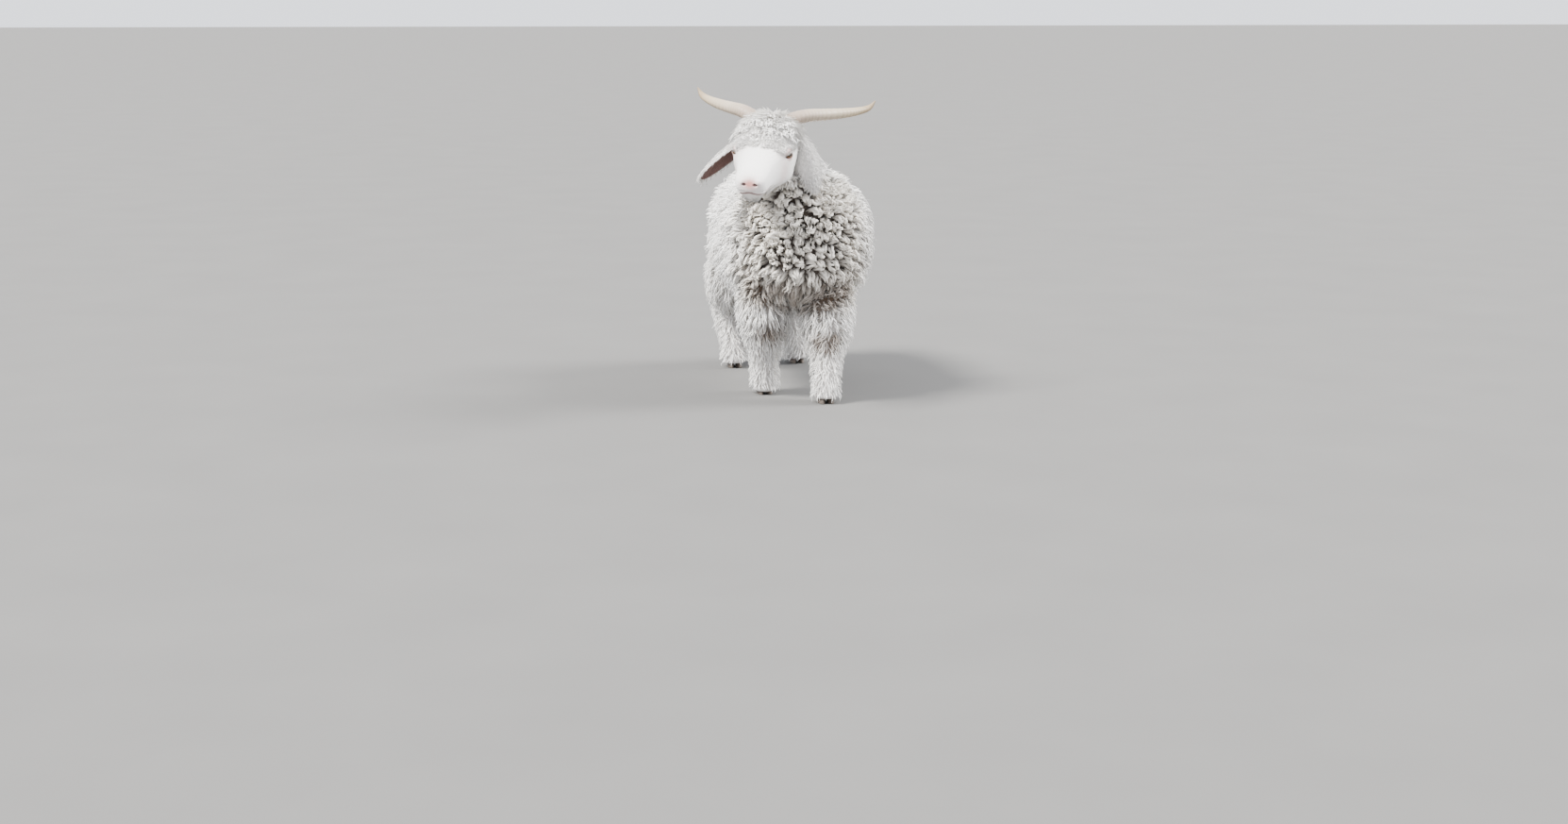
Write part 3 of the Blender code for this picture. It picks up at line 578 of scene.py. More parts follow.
def markings_and_shade(points):
    """How far dust and painted shade darken the roots, most on the chest, and how brown the tips are,
    from where a point is on the animal.
    """
    x, y, z = points[:, 0], points[:, 1], points[:, 2]
    aside = x - CHEST_MIDDLE
    chest = step(-y, 0.12, 0.24) * step(z, 0.25, 0.30) * (1 - step(z, 0.60, 0.68))
    chest *= 1 - 0.85 * step(np.abs(aside), 0.145, 0.215)
    hem = bell(z - HEM_UP - 2.4 * aside**2, 0.038) * step(-y, 0.15, 0.23) * bell(aside, 0.18)
    knees = sum(
        bell(np.linalg.norm((points - np.array(at)) / KNEE_PATCH, axis=1), 1.0) for at in KNEES
    )
    belly = step(-z, -0.30, -0.20) * step(0.14 - np.abs(x - BODY_MIDDLE), 0, 0.05) * 0.35
    brown = 1.5 * hem + 1.7 * knees + 0.25 * belly
    # The first value is dust and painted shade at the roots, strongest on the chest
    return np.clip(0.06 + 0.94 * chest, 0, 1), np.clip(brown, 0, 1)


def pinkness(points):
    """How pink the bare skin is at the nose, the lips and the lids, with pink painted shade below the
    eyes, and how dark the painted shade is in the mouth line, the nostrils and the lid rims.
    """
    side, along, up = local(points)
    nose = bell(far(side / 0.021, (along - 0.272) / 0.016, (up + 0.018) / 0.015), 1.0)
    line = up - LIP_UP + LIP_DROP * np.minimum(1, np.abs(side) / LIP_HALF_WIDTH)
    lips = bell(line, 0.0042) * step(along, 0.19, 0.235) * 0.5
    pink = np.maximum(nose * 1.1, lips)
    # Painted shade in the line between the lips
    dark = bell(line, 0.0021) * step(along, 0.17, 0.20)
    for s in (-1, 1):
        rim = np.linalg.norm(points - eye_at(s), axis=1) - EYE_RADIUS
        # Painted shade below each eye, in pink
        below_eye_shade = far(side - 0.056 * s, along - 0.138, (up + 0.028) / 1.7)
        hole = far(side - NOSTRIL_SIDE * s, (along - 0.268) * 0.6, (up + 0.020) * 1.5)
        for value in (bell(rim, 0.005) * 0.75, bell(below_eye_shade, 0.023) * 0.40):
            pink = np.maximum(pink, value)
        # Painted shade in the nostrils and along the lid rims
        for value in (bell(hole, 0.0058), bell(rim, 0.0016) * 0.8):
            dark = np.maximum(dark, value)
    return np.clip(pink, 0, 1), dark


def ear_cups(points, normals):
    """Which points lie inside the cup of an ear."""
    inner = np.zeros(len(points))
    side = local(points)[0]
    for s in (-1, 1):
        u, v = (a.ravel() for a in np.meshgrid(np.linspace(0.06, 1, 24), np.linspace(-0.9, 0.9, 7)))
        mids, outs, _ = ear_sheet(s, u, v, np.full(u.size, -0.002))
        index = np.nonzero(side * s > 0.05)[0]
        for i in range(0, len(index), CHUNK):
            part = index[i:i + CHUNK]
            gap = np.linalg.norm(points[part][:, None] - mids[None], axis=2)
            best = gap.argmin(1)
            close = gap[np.arange(len(part)), best] < 0.010
            facing = (normals[part] * outs[best]).sum(1) < -0.15
            inner[part] = np.maximum(inner[part], close & facing)
    return inner


# Materials


class Shading:
    """A material with a short way to make and join each kind of node."""

    def __init__(self, name):
        self.material = bpy.data.materials.new(name)
        self.material.use_nodes = True
        self.tree = self.material.node_tree
        self.shader = self.tree.nodes["Principled BSDF"]

    def feed(self, socket, value):
        """Links an output to a socket, or sets the socket to a number, a vector or a colour."""
        if hasattr(value, "is_output"):
            self.tree.links.new(value, socket)
        elif socket.type == "RGBA":
            socket.default_value = (*value, 1)
        else:
            socket.default_value = value

    def add(self, kind, inputs=(), **settings):
        node = self.tree.nodes.new(kind)
        for key, value in settings.items():
            setattr(node, key, value)
        for key, value in dict(inputs).items():
            self.feed(node.inputs[key], value)
        return node

    def mix(self, factor, a, b, blend="MIX"):
        sockets = {0: factor, 6: a, 7: b}
        return self.add("ShaderNodeMix", sockets, data_type="RGBA", blend_type=blend).outputs[2]

    def maths(self, operation, a, b=0.0, clamp=False):
        return self.add("ShaderNodeMath", {0: a, 1: b}, operation=operation, use_clamp=clamp).outputs[0]

    def times(self, a, b, clamp=False):
        return self.maths("MULTIPLY", a, b, clamp)

    def spread(self, value, low, high, name="To"):
        """Stretches 0 to 1 onto low to high or, with From, low to high onto 0 to 1."""
        sockets = {"Value": value, f"{name} Min": low, f"{name} Max": high}
        return self.add("ShaderNodeMapRange", sockets).outputs[0]

    def split(self, value):
        return self.add("ShaderNodeSeparateXYZ", {0: value}).outputs

    def strand(self):
        """Where a point lies round and along its lock or horn."""
        return self.add("ShaderNodeUVMap", uv_map="Lock").outputs[0]

    def kinds(self, name="Kind"):
        painted = self.add("ShaderNodeAttribute", attribute_name=name).outputs["Color"]
        return self.add("ShaderNodeSeparateColor", {0: painted}).outputs

    def noise(self, scale, detail=3.0, stretch=(1, 1, 1), vector=None, turn=None):
        """Noise over the object's own coordinates, or over another vector, drawn out along turn."""
        if vector is None:
            vector = self.add("ShaderNodeTexCoord").outputs["Object"]
        sockets = {"Vector": vector, "Scale": stretch, "Rotation": turn or (0, 0, 0)}
        kind = "TEXTURE" if turn else "POINT"
        place = self.add("ShaderNodeMapping", sockets, vector_type=kind).outputs[0]
        sockets = {"Vector": place, "Scale": scale, "Detail": detail}
        return self.add("ShaderNodeTexNoise", sockets).outputs["Fac"]

    def bump(self, height, strength, distance):
        sockets = {"Height": height, "Strength": strength, "Distance": distance}
        self.feed(self.shader.inputs["Normal"], self.add("ShaderNodeBump", sockets).outputs[0])

    def finish(self, **values):
        """Sets the shader's inputs, each named with _ for a space."""
        for name, value in values.items():
            self.feed(self.shader.inputs[name.replace("_", " ")], value)
        return self.material


WOOL_TIP = (0.985, 0.972, 0.950)
WOOL_MID = (0.955, 0.930, 0.890)
WOOL_CREAM = (0.74, 0.66, 0.53)
# Dust and painted shade at the roots of the fleece and on the skin under it
ROOT_DUST_AND_SHADE = (0.072, 0.054, 0.042)
# Brown stains, also used for painted shade below the eyes
STAIN_AND_SHADE = (0.125, 0.076, 0.041)
HAIR_TIP = (0.95, 0.93, 0.90)
HAIR_MID = (0.90, 0.86, 0.82)
HAIR_ROOT = (0.6, 0.5, 0.44)
FACE_HAIR = (0.96, 0.94, 0.915)
FACE_SHADE = (0.84, 0.79, 0.75)
PINK = (0.66, 0.31, 0.27)
DEEP_PINK = (0.50, 0.22, 0.195)
# Inside the ear cups: pink-brown skin darkened with painted shade
EAR_CUP = (0.19, 0.105, 0.092)
EAR_SHADE = (0.095, 0.052, 0.046)
# Painted shade in the mouth line, the nostrils and the lid rims
OPENING_SHADE = (0.13, 0.065, 0.055)
HORN_ROOT = (0.16, 0.11, 0.095)
HORN_TIP = (0.16, 0.095, 0.042)
HORN_STOPS = (
    (0.20, (0.33, 0.25, 0.205)), (0.42, (0.54, 0.45, 0.345)), (0.66, (0.50, 0.40, 0.26)),
    (0.86, (0.30, 0.205, 0.095)),
)
HORN_GRAIN = (0.145, 0.10, 0.068)
HORN_CLOUD = (0.56, 0.48, 0.36)
HOOF_DARK = (0.045, 0.036, 0.030)
HOOF_PALE = (0.16, 0.125, 0.10)
HOOF_SCUFF = (0.22, 0.18, 0.145)
IRIS_DARK = (0.055, 0.026, 0.012)
IRIS_PALE = (0.17, 0.085, 0.032)
EYE_RIM = (0.035, 0.022, 0.016)
PUPIL = (0.004, 0.004, 0.005)


def wool_material(name, tip, middle, root, sheen):
    """Strands: a root darkened by dust and painted shade, a pale tip, fine fibres along the lock, and
    brown for stains and for painted shade.
    """
    wool = Shading(name)
    own_shade, brown, dust_and_shade = wool.kinds()[:3]
    strand = wool.strand()
    along = wool.split(strand)["Y"]
    low = wool.maths("SUBTRACT", 1.0, wool.times(along, 1.55, clamp=True), clamp=True)
    colour = wool.mix(wool.times(along, 1.25, clamp=True), middle, tip)
    # Dust and painted shade: creamier along the lock and dark at the root, most on the chest
    colour = wool.mix(wool.times(dust_and_shade, 0.60), colour, WOOL_CREAM)
    colour = wool.mix(wool.times(low, dust_and_shade, clamp=True), colour, root)
    patch = wool.maths("ADD", wool.noise(26.0, 2.0), 0.35)
    # Brown stains, and on the face painted shade below the eyes in the same brown
    colour = wool.mix(wool.times(brown, patch, clamp=True), colour, STAIN_AND_SHADE)
    grey = dict.fromkeys(range(3), wool.spread(own_shade, 0.93, 1.01))
    grey = wool.add("ShaderNodeCombineColor", grey).outputs[0]
    colour = wool.mix(1.0, colour, grey, "MULTIPLY")
    fibre = wool.noise(1.0, 3.0, (15, 2.2, 40), strand)
    colour = wool.mix(wool.times(fibre, 0.30), colour, middle)
    wool.bump(fibre, 0.85, 0.0016)
    return wool.finish(Base_Color=colour, Roughness=wool.spread(fibre, 0.50, 0.72), Sheen_Weight=sheen,
                       Sheen_Roughness=0.4, Specular_IOR_Level=0.35)


def skin_material():
    """Short white hair, pink where bare, painted shade with dust under the fleece, pink painted shade
    below the eyes and dark painted shade in the ear cups, mouth line, nostrils and lid rims.
    """
    skin = Shading("skin")
    _, brown, dust_and_shade = skin.kinds()[:3]
    pink, cup, dark = skin.kinds("Bare")[:3]
    turn = Matrix((LEFT, FORWARD, -UP)).transposed().to_euler()
    hairs = skin.noise(620.0, 3.0, (1, 7, 1), turn=tuple(turn))
    spots = skin.noise(55.0, 4.0)
    colour = skin.mix(skin.times(hairs, 0.55), FACE_HAIR, FACE_SHADE)
    # Under the fleece the skin is painted dark: painted shade in the gaps between the locks, with dust
    colour = skin.mix(dust_and_shade, colour, ROOT_DUST_AND_SHADE)
    colour = skin.mix(skin.times(brown, 0.8), colour, STAIN_AND_SHADE)
    colour = skin.mix(pink, colour, skin.mix(spots, PINK, DEEP_PINK))
    # Inside the ear cups: their own pink-brown skin, darkened with painted shade
    colour = skin.mix(cup, colour, skin.mix(spots, EAR_CUP, EAR_SHADE))
    # Painted shade in the mouth line, the nostrils and the lid rims
    colour = skin.mix(dark, colour, OPENING_SHADE)
    skin.bump(skin.maths("ADD", hairs, skin.times(spots, 0.5)), 0.9, 0.0020)
    rough = skin.maths("SUBTRACT", 0.78, skin.times(pink, 0.34))
    return skin.finish(Base_Color=colour, Roughness=rough, Sheen_Weight=0.25, Specular_IOR_Level=0.3)


def horn_material():
    """Brown-grey at the root, cream along the horn and brown at the tip, with a fine grain."""
    horn = Shading("horn")
    strand = horn.strand()
    grain = horn.noise(1.0, 4.0, (30, 5, 1), strand)
    cloud = horn.noise(38.0, 4.0)
    ramp = horn.add("ShaderNodeValToRGB", {0: horn.split(strand)["Y"]})
    elements = ramp.color_ramp.elements
    elements[0].color = (*HORN_ROOT, 1)
    elements[-1].color = (*HORN_TIP, 1)
    for at, colour in HORN_STOPS:
        elements.new(at).color = (*colour, 1)
    colour = horn.mix(horn.times(grain, 0.60), ramp.outputs[0], HORN_GRAIN)
    colour = horn.mix(horn.times(cloud, 0.30), colour, HORN_CLOUD)
    horn.bump(grain, 0.4, 0.0010)
    return horn.finish(Base_Color=colour, Roughness=horn.spread(cloud, 0.34, 0.62))


def hoof_material():
    """Dark horn with fine level rings, paler where it is scuffed."""
    hoof = Shading("hoof")
    rings = hoof.noise(14.0, 3.0, (2, 2, 60))
    scuff = hoof.noise(90.0, 5.0)
    colour = hoof.mix(rings, HOOF_DARK, HOOF_PALE)
    colour = hoof.mix(hoof.times(scuff, 0.5), colour, HOOF_SCUFF)
    hoof.bump(rings, 0.6, 0.0012)
    return hoof.finish(Base_Color=colour, Roughness=hoof.spread(scuff, 0.38, 0.75))


def eye_material():
    """A brown iris with a level slot for a pupil, and a dark rim."""
    eye = Shading("eye")
    gaze = eye.add("ShaderNodeAttribute", attribute_name="Gaze").outputs["Vector"]
    x, y, z = eye.split(gaze)
    x, z = eye.maths("ABSOLUTE", x), eye.maths("ABSOLUTE", z)
    away = eye.maths("ADD", eye.maths("POWER", x, 2.0), eye.maths("POWER", z, 2.0))
    rim = eye.spread(eye.maths("SQRT", away), 0.50, 0.66, "From")
    streaks = eye.noise(14.0, vector=gaze)
    colour = eye.mix(rim, eye.mix(streaks, IRIS_DARK, IRIS_PALE), EYE_RIM)
    wide = eye.maths("POWER", eye.maths("DIVIDE", x, 0.40), 4.0)
    tall = eye.maths("POWER", eye.maths("DIVIDE", z, 0.13), 4.0)
    slot = eye.maths("LESS_THAN", eye.maths("ADD", wide, tall), 1.0)
    colour = eye.mix(eye.times(slot, eye.maths("GREATER_THAN", y, 0.0)), colour, PUPIL)
    return eye.finish(Base_Color=colour, Roughness=eye.spread(streaks, 0.03, 0.09), Coat_Weight=0.6,
                      Coat_Roughness=0.03)


# Locks


def pick(locks, which):
    """Some of the locks."""
    return {key: value[which] for key, value in locks.items()}


def join(rows):
    """Several sets of locks as one."""
    return {key: np.concatenate([row[key] for row in rows]) for key in rows[0]}


def lock_kind(n, brown=0.0, dust_and_shade=0.0):
    """Three values for each lock: a shade of its own, how brown it is and how far dust and painted
    shade darken its root.
    """
    return columns(RNG.random(n), np.zeros(n) + brown, np.zeros(n) + dust_and_shade)


def lock_points(locks, stations, sides, flat, sink):
    """Points of curled locks that taper, ring by ring, each leaning from its root along its lie.

    gather is how far a tip is drawn over the skin, towards the middle of its staple, and phase is
    where its curl begins.
    """
    root, out, lie, depth, sweep, radius, curl, turns, gather, phase = (
        locks[key] for key in ("root", "out", "lie", "depth", "sweep", "radius", "curl", "turns",
                               "gather", "phase")
    )
    u = np.linspace(0, 1, stations)
    out = unit(out)
    lie = unit(lie - out * dot(lie, out))
    aside = np.cross(out, lie)
    rise = 1 - (1 - u) ** 1.6
    line = (
        root[:, None] + out[:, None] * (depth[:, None] * rise - sink)[..., None]
        + lie[:, None] * (sweep[:, None] * u**1.5)[..., None]
        + gather[:, None] * (u**1.1)[None, :, None]
    )
    hand = np.where(np.sin(phase * 7.0) < 0, -1, 1)[:, None]
    phase = phase[:, None]
    angle = phase + hand * turns[:, None] * TURN * u
    size = curl[:, None] * (0.25 + 0.75 * u)
    way = unit(np.gradient(line, axis=1))
    first = np.broadcast_to(aside[:, None], way.shape)
    second = np.cross(way, first)
    line = line + first * ((np.cos(angle) - np.cos(phase)) * size)[..., None]
    line = line + second * ((np.sin(angle) - np.sin(phase)) * size)[..., None]
    way = unit(np.gradient(line, axis=1))
    first = unit(first - way * dot(first, way))
    second = np.cross(way, first)
    wide = np.interp(u, (0, 0.3, 0.75, 1), (0.75, 1.0, 0.72, 0.10))
    corner = np.arange(sides) * TURN / sides
    twist = RNG.uniform(0, TURN, len(root))[:, None, None] + corner
    reach = (radius[:, None] * wide)[..., None]
    points = (
        line[:, :, None] + first[:, :, None] * (np.cos(twist) * reach)[..., None]
        + second[:, :, None] * (np.sin(twist) * reach * flat)[..., None]
    )
    points[..., 2] = np.maximum(points[..., 2], GROUND_GAP)
    return points


def lock_faces(stations, sides):
    """A lock's corners, their places round and along it, and the number of corners of each face."""
    u = np.linspace(0, 1, stations)
    corners = []
    for i in range(stations - 1):
        for j in range(sides):
            for up, over in ((0, 0), (0, 1), (1, 1), (1, 0)):
                k = (i + up) * sides + (j + over) % sides
                corners.append((k, (j + over) / sides, u[i + up]))
    ring = (stations - 1) * sides
    corners += [(ring + j, j / sides, 1.0) for j in range(sides)]
    index, around, along = (np.array(part) for part in zip(*corners))
    return index, around, along, [4] * ring + [sides]


def make_locks(name, locks, shade, stations=8, sides=4, flat=0.55, sink=0.004):
    """Builds locks as one mesh, or as several where it would hold too many triangles."""
    points = lock_points(locks, stations, sides, flat, sink)
    index, around, along, sizes = lock_faces(stations, sides)
    patch = columns(around - 0.5, along - 0.5) * MAP_PATCH
    per_piece = PIECE_TRIANGLES // (2 * (stations - 1) * sides + sides - 2)
    pieces = max(1, math.ceil(len(points) / per_piece))
    order = np.argsort(locks["uv"][:, 1], kind="stable")
    for k, group in enumerate(np.array_split(order, pieces)):
        number = len(group)
        label = name if pieces == 1 else f"{name}_{k + 1}"
        mesh = bpy.data.meshes.new(label)
        mesh.vertices.add(number * stations * sides)
        mesh.vertices.foreach_set("co", points[group].astype(np.float32).ravel())
        loops = (np.arange(number)[:, None] * stations * sides + index).ravel()
        mesh.loops.add(len(loops))
        mesh.loops.foreach_set("vertex_index", loops.astype(np.int32))
        counts = np.tile(sizes, number)
        mesh.polygons.add(len(counts))
        mesh.polygons.foreach_set("loop_start", (np.cumsum(counts) - counts).astype(np.int32))
        mesh.polygons.foreach_set("use_smooth", np.ones(len(counts), bool))
        spot = locks["uv"][group][:, None] * (1 - 2 * MAP_PATCH) + MAP_PATCH
        add_map(mesh, "OFBake", spot + patch)
        round_lock = around + RNG.uniform(0, 50, number)[:, None]
        add_map(mesh, "Lock", np.stack(np.broadcast_arrays(round_lock, along), axis=2))
        paint(mesh, "Kind", np.repeat(locks["kind"][group], stations * sides, axis=0))
        mesh.update()
        mesh.validate()
        attach(link(label, mesh), shade)


def attach(obj, material):
    """Moves a piece into the frame and gives it its material and body."""
    obj.data.transform(SHIFT_TO_FRAME)
    obj.data.materials.clear()
    obj.data.materials.append(material)
    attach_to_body(obj, "root")


def places(form, spacing, start=0.0, end=1.0, coat=SKIN_SHARE, jitter=0.42):
    """Section values and angles spread evenly over a form, one spacing apart."""
    rows, steps = 120, 49
    ts = np.linspace(start, end, rows)
    turns = np.linspace(0, TURN, steps)
    grid = form.point(np.repeat(ts, steps), np.tile(turns, rows), coat=coat).reshape(rows, steps, 3)
    run = np.linalg.norm(np.diff(grid, axis=0), axis=2).mean(1)
    run = np.concatenate(((0,), np.cumsum(run)))
    around = np.linalg.norm(np.diff(grid, axis=1), axis=2)
    count = max(1, round(run[-1] / spacing))
    all_t, all_turn = [], []
    for i in range(count):
        t = np.interp((i + 0.5) / count * run[-1], run, ts)
        ring = np.concatenate(((0,), np.cumsum(around[np.abs(ts - t).argmin()])))
        number = max(3, round(ring[-1] / spacing))
        at = (np.arange(number) + 0.5 * (i % 2) + RNG.uniform(-jitter, jitter, number)) / number
        all_turn.append(np.interp(at % 1.0 * ring[-1], ring, turns))
        shift = RNG.uniform(-jitter, jitter, number) * (end - start) / count
        all_t.append(np.clip(t + shift, start, end))
    return np.concatenate(all_t), np.concatenate(all_turn)


def on_skin(tree, points, limit):
    """Which points lie on the open skin, and the skin's place and normal there."""
    keep, at, normal = [], [], []
    for i, p in enumerate(points):
        found, face, _, gap = tree.find_nearest(Vector(p))
        if gap is not None and gap < limit:
            keep.append(i)
            at.append(found)
            normal.append(face)
    return np.array(keep, int), np.array(at).reshape(-1, 3), np.array(normal).reshape(-1, 3)


def hang(root, out):
    """The lie of the fleece: down the sides and a little back."""
    side = np.sign(root[:, 0] - BODY_MIDDLE)
    back = 0.22 + 0.5 * np.maximum(out[:, 2], 0)
    return columns(0.6 * side * np.abs(out[:, 2]), back, -np.ones(len(root)))


def ripple(points, size, seed):
    """A smooth uneven value about zero over the body, with waves of about that size."""
    rng = np.random.default_rng(seed)
    total = np.zeros(len(points))
    for _ in range(6):
        way = unit(rng.normal(0, 1, 3)) * TURN / (size * rng.uniform(0.7, 1.6))
        total += np.sin(points @ way + rng.uniform(0, TURN))
    return total / 3.2


def ripples(points, size, seeds):
    """Such a value for each seed, side by side."""
    return columns(*(ripple(points, size, seed) for seed in seeds))


def staples(root, out, centres, pull):
    """The way each tip is pulled towards the middle of its staple, and the staple's number."""
    best = np.zeros(len(root), int)
    for i in range(0, len(root), CHUNK):
        gap = ((root[i:i + CHUNK, None] - centres[None]) ** 2).sum(2)
        best[i:i + CHUNK] = gap.argmin(1)
    way = centres[best] - root
    way = way - out * dot(way, out)
    reach = np.linalg.norm(way, axis=1, keepdims=True)
    way = way * np.minimum(1, LONGEST_PULL / np.maximum(reach, 1e-6))
    return way * pull[:, None], best


def cap_places(form, t, spacing):
    """Places spread over the flat end of a form: points, shares of the radius and angles."""
    shares, turns = [], []
    edge = form.point(np.full(24, t), np.arange(24) * TURN / 24, coat=SKIN_SHARE)
    middle = edge.mean(0)
    wide = np.linalg.norm(edge - middle, axis=1).mean()
    rings = max(1, round(wide / spacing))
    for i in range(rings):
        share = (i + 0.5) / rings
        number = max(3, round(TURN * share * wide / spacing))
        shares.append(np.clip(share + RNG.uniform(-0.3, 0.3, number) / rings, 0, 1))
        turns.append((np.arange(number) + RNG.uniform(-0.4, 0.4, number)) / number * TURN)
    shares, turns = np.concatenate(shares), np.concatenate(turns) % TURN
    rim = form.point(np.full(len(turns), t), turns, coat=SKIN_SHARE)
    return middle + (rim - middle) * shares[:, None], shares, turns


def coat_roots(name, spacing, start, tree):
    """Roots on the open skin of a form, with their outward way, cover of coat and place in the map."""
    form = FORMS[name]
    t, turn = places(form, spacing, start)
    root = form.point(t, turn, coat=SKIN_SHARE)
    out = form.normal(t, turn, coat=SKIN_SHARE)
    cover = form.coat(t, turn) * (1 - SKIN_SHARE)
    uv = columns(turn / TURN, 0.04 + 0.92 * (t - start) / (1 - start))
    if name == "torso":
        for at, way, low in ((0.0, (0, -1, -0.15), 0.0), (1.0, (0, 1, 0), 0.98)):
            spot, share, angle = cap_places(form, at, spacing)
            end = np.full(len(angle), at)
            rim = form.normal(end, angle, coat=SKIN_SHARE)
            root = np.concatenate((root, spot))
            out = np.concatenate((out, unit(np.array(way) + rim * 0.6 * share[:, None])))
            cover = np.concatenate((cover, form.coat(end, angle) * 0.62))
            uv = np.concatenate((uv, columns(angle / TURN, low + 0.02 * share)))
    keep, root, normal = on_skin(tree, root, 0.009)
    out, cover, uv = unit(out[keep] * 0.65 + normal * 0.35), cover[keep], uv[keep]
    side, along, up = local(root)
    ok = root[:, 2] > 0.030
    if name in ("neck", "torso"):
        ok &= ~((along > -0.010) & (up > -0.085) & (np.abs(side) < 0.080))
    return root[ok], out[ok], cover[ok], uv[ok]


def by_place(values, chest, leg):
    """A value of the fleece, from how far a root is on the chest and whether it is on a leg."""
    usual, on_chest, on_leg = values
    return usual + on_chest * chest + on_leg * leg


def fleece_locks(name, tree):
    """The locks of one form: ringlets in staples, tighter on the chest and shaggier on a leg."""
    form = FORMS[name]
    leg = name in LEG_JOINTS
    start = {"torso": 0.0, "tail": 0.1}.get(name, 0.12)
    root, out, cover, uv = coat_roots(name, SPACINGS.get(name, LEG_SPACING), start, tree)
    n = len(root)
    if leg:
        cover = np.maximum(cover, 0.023 * (root[:, 2] > 0.24))
        uv[:, 0] = (uv[:, 0] * 0.98 + list(LEG_JOINTS).index(name)) / 4
    dust_and_shade = markings_and_shade(root + out * cover[:, None])[0]
    chest = np.clip((dust_and_shade - 0.06) / 0.94, 0, 1)
    t, turn = places(form, LEG_STAPLE if leg else STAPLE, start, jitter=0.46)
    centres = form.point(t, turn, coat=SKIN_SHARE)
    if name == "torso":
        for at in (0.0, 1.0):
            centres = np.concatenate((centres, cap_places(form, at, STAPLE)[0]))
    pull = by_place(PULL, chest, leg) * RNG.uniform(0.75, 1.1, n)
    gather, staple = staples(root, out, centres, pull)
    middle = centres[staple]
    rng = np.random.default_rng(5)
    tone, start_phase, size = (rng.random(len(centres))[staple] for _ in range(3))
    lie = hang(root, out)
    if leg:
        lie = np.tile((0.0, 0.10, -1.0), (n, 1))
    if name == "tail":
        lie = np.tile(TAIL_WAY, (n, 1)) + out * 0.2
    lie = unit(lie) + ripples(middle, 0.09, (1, 2, 3)) * by_place(SWIRL, chest, leg)[:, None]
    lie = lie + RNG.normal(0, 0.10, (n, 3))
    lift = 1 + 0.10 * ripple(middle, 0.05, 4)
    depth = cover * (0.80 + 0.16 * size + 0.26 * leg) * lift * RNG.uniform(0.86, 1.04, n)
    sweep = (cover * (0.80 - 0.48 * chest) + 0.011 * leg) * RNG.uniform(0.8, 1.2, n)
    if name == "torso":
        # The fleece hangs longer along the hem of the chest
        hem = step(-root[:, 2], -0.385, -0.310) * step(-root[:, 1], 0.16, 0.24)
        hem *= bell(root[:, 0] - CHEST_MIDDLE, 0.12)
        sweep += 0.030 * hem
        lie = unit(lie) + hem[:, None] * np.array((0.0, -0.25, -1.6))
    radius = by_place(LOCK_RADIUS, chest, leg) * RNG.uniform(0.75, 1.25, n)
    radius *= np.clip(cover / 0.035, 0.6, 1)
    curl = np.clip(cover * 0.11, 0.0012, 0.0058) * (0.7 + 0.6 * size) * (1 + 0.12 * leg)
    turns = 0.8 + 0.7 * tone + RNG.uniform(-0.1, 0.1, n)
    phase = start_phase * TURN + RNG.normal(0, 0.45, n)
    brown = markings_and_shade(root + out * depth[:, None] + unit(lie) * sweep[:, None])[1]
    # The third value darkens the roots with dust and painted shade, most on the chest
    kind = columns(np.clip(tone * 0.7 + RNG.random(n) * 0.3, 0, 1), brown, dust_and_shade)
    return dict(root=root, out=out, lie=lie, depth=depth, sweep=sweep, radius=radius, curl=curl,
                turns=turns, uv=uv, kind=kind, gather=gather, phase=phase)


def wisps(locks):
    """Loose thin strands at a share of the locks' roots."""
    thin = pick(locks, RNG.random(len(locks["root"])) < WISP_SHARE)
    n = len(thin["root"])
    thin["root"] = thin["root"] + RNG.normal(0, 0.0025, (n, 3))
    thin["lie"] = thin["lie"] + RNG.normal(0, 0.55, (n, 3))
    thin["depth"] = thin["depth"] * RNG.uniform(0.95, 1.10, n)
    thin["radius"] = WISP_RADIUS * RNG.uniform(0.7, 1.4, n)
    thin["curl"] = thin["curl"] * 1.3
    thin["turns"] = thin["turns"] * 1.3
    return thin


def fleece(tree, shade):
    """Ringlets on trunk, neck and tail, wisps on trunk and neck, shaggier wool on the legs."""
    for name in SPACINGS:
        locks = fleece_locks(name, tree)
        make_locks("fleece_" + name, locks, shade, stations=9)
        if name != "tail":
            make_locks("wisps_" + name, wisps(locks), shade, stations=7, sides=3, flat=0.8)
    make_locks("fleece_legs", join([fleece_locks(name, tree) for name in LEG_JOINTS]), shade)


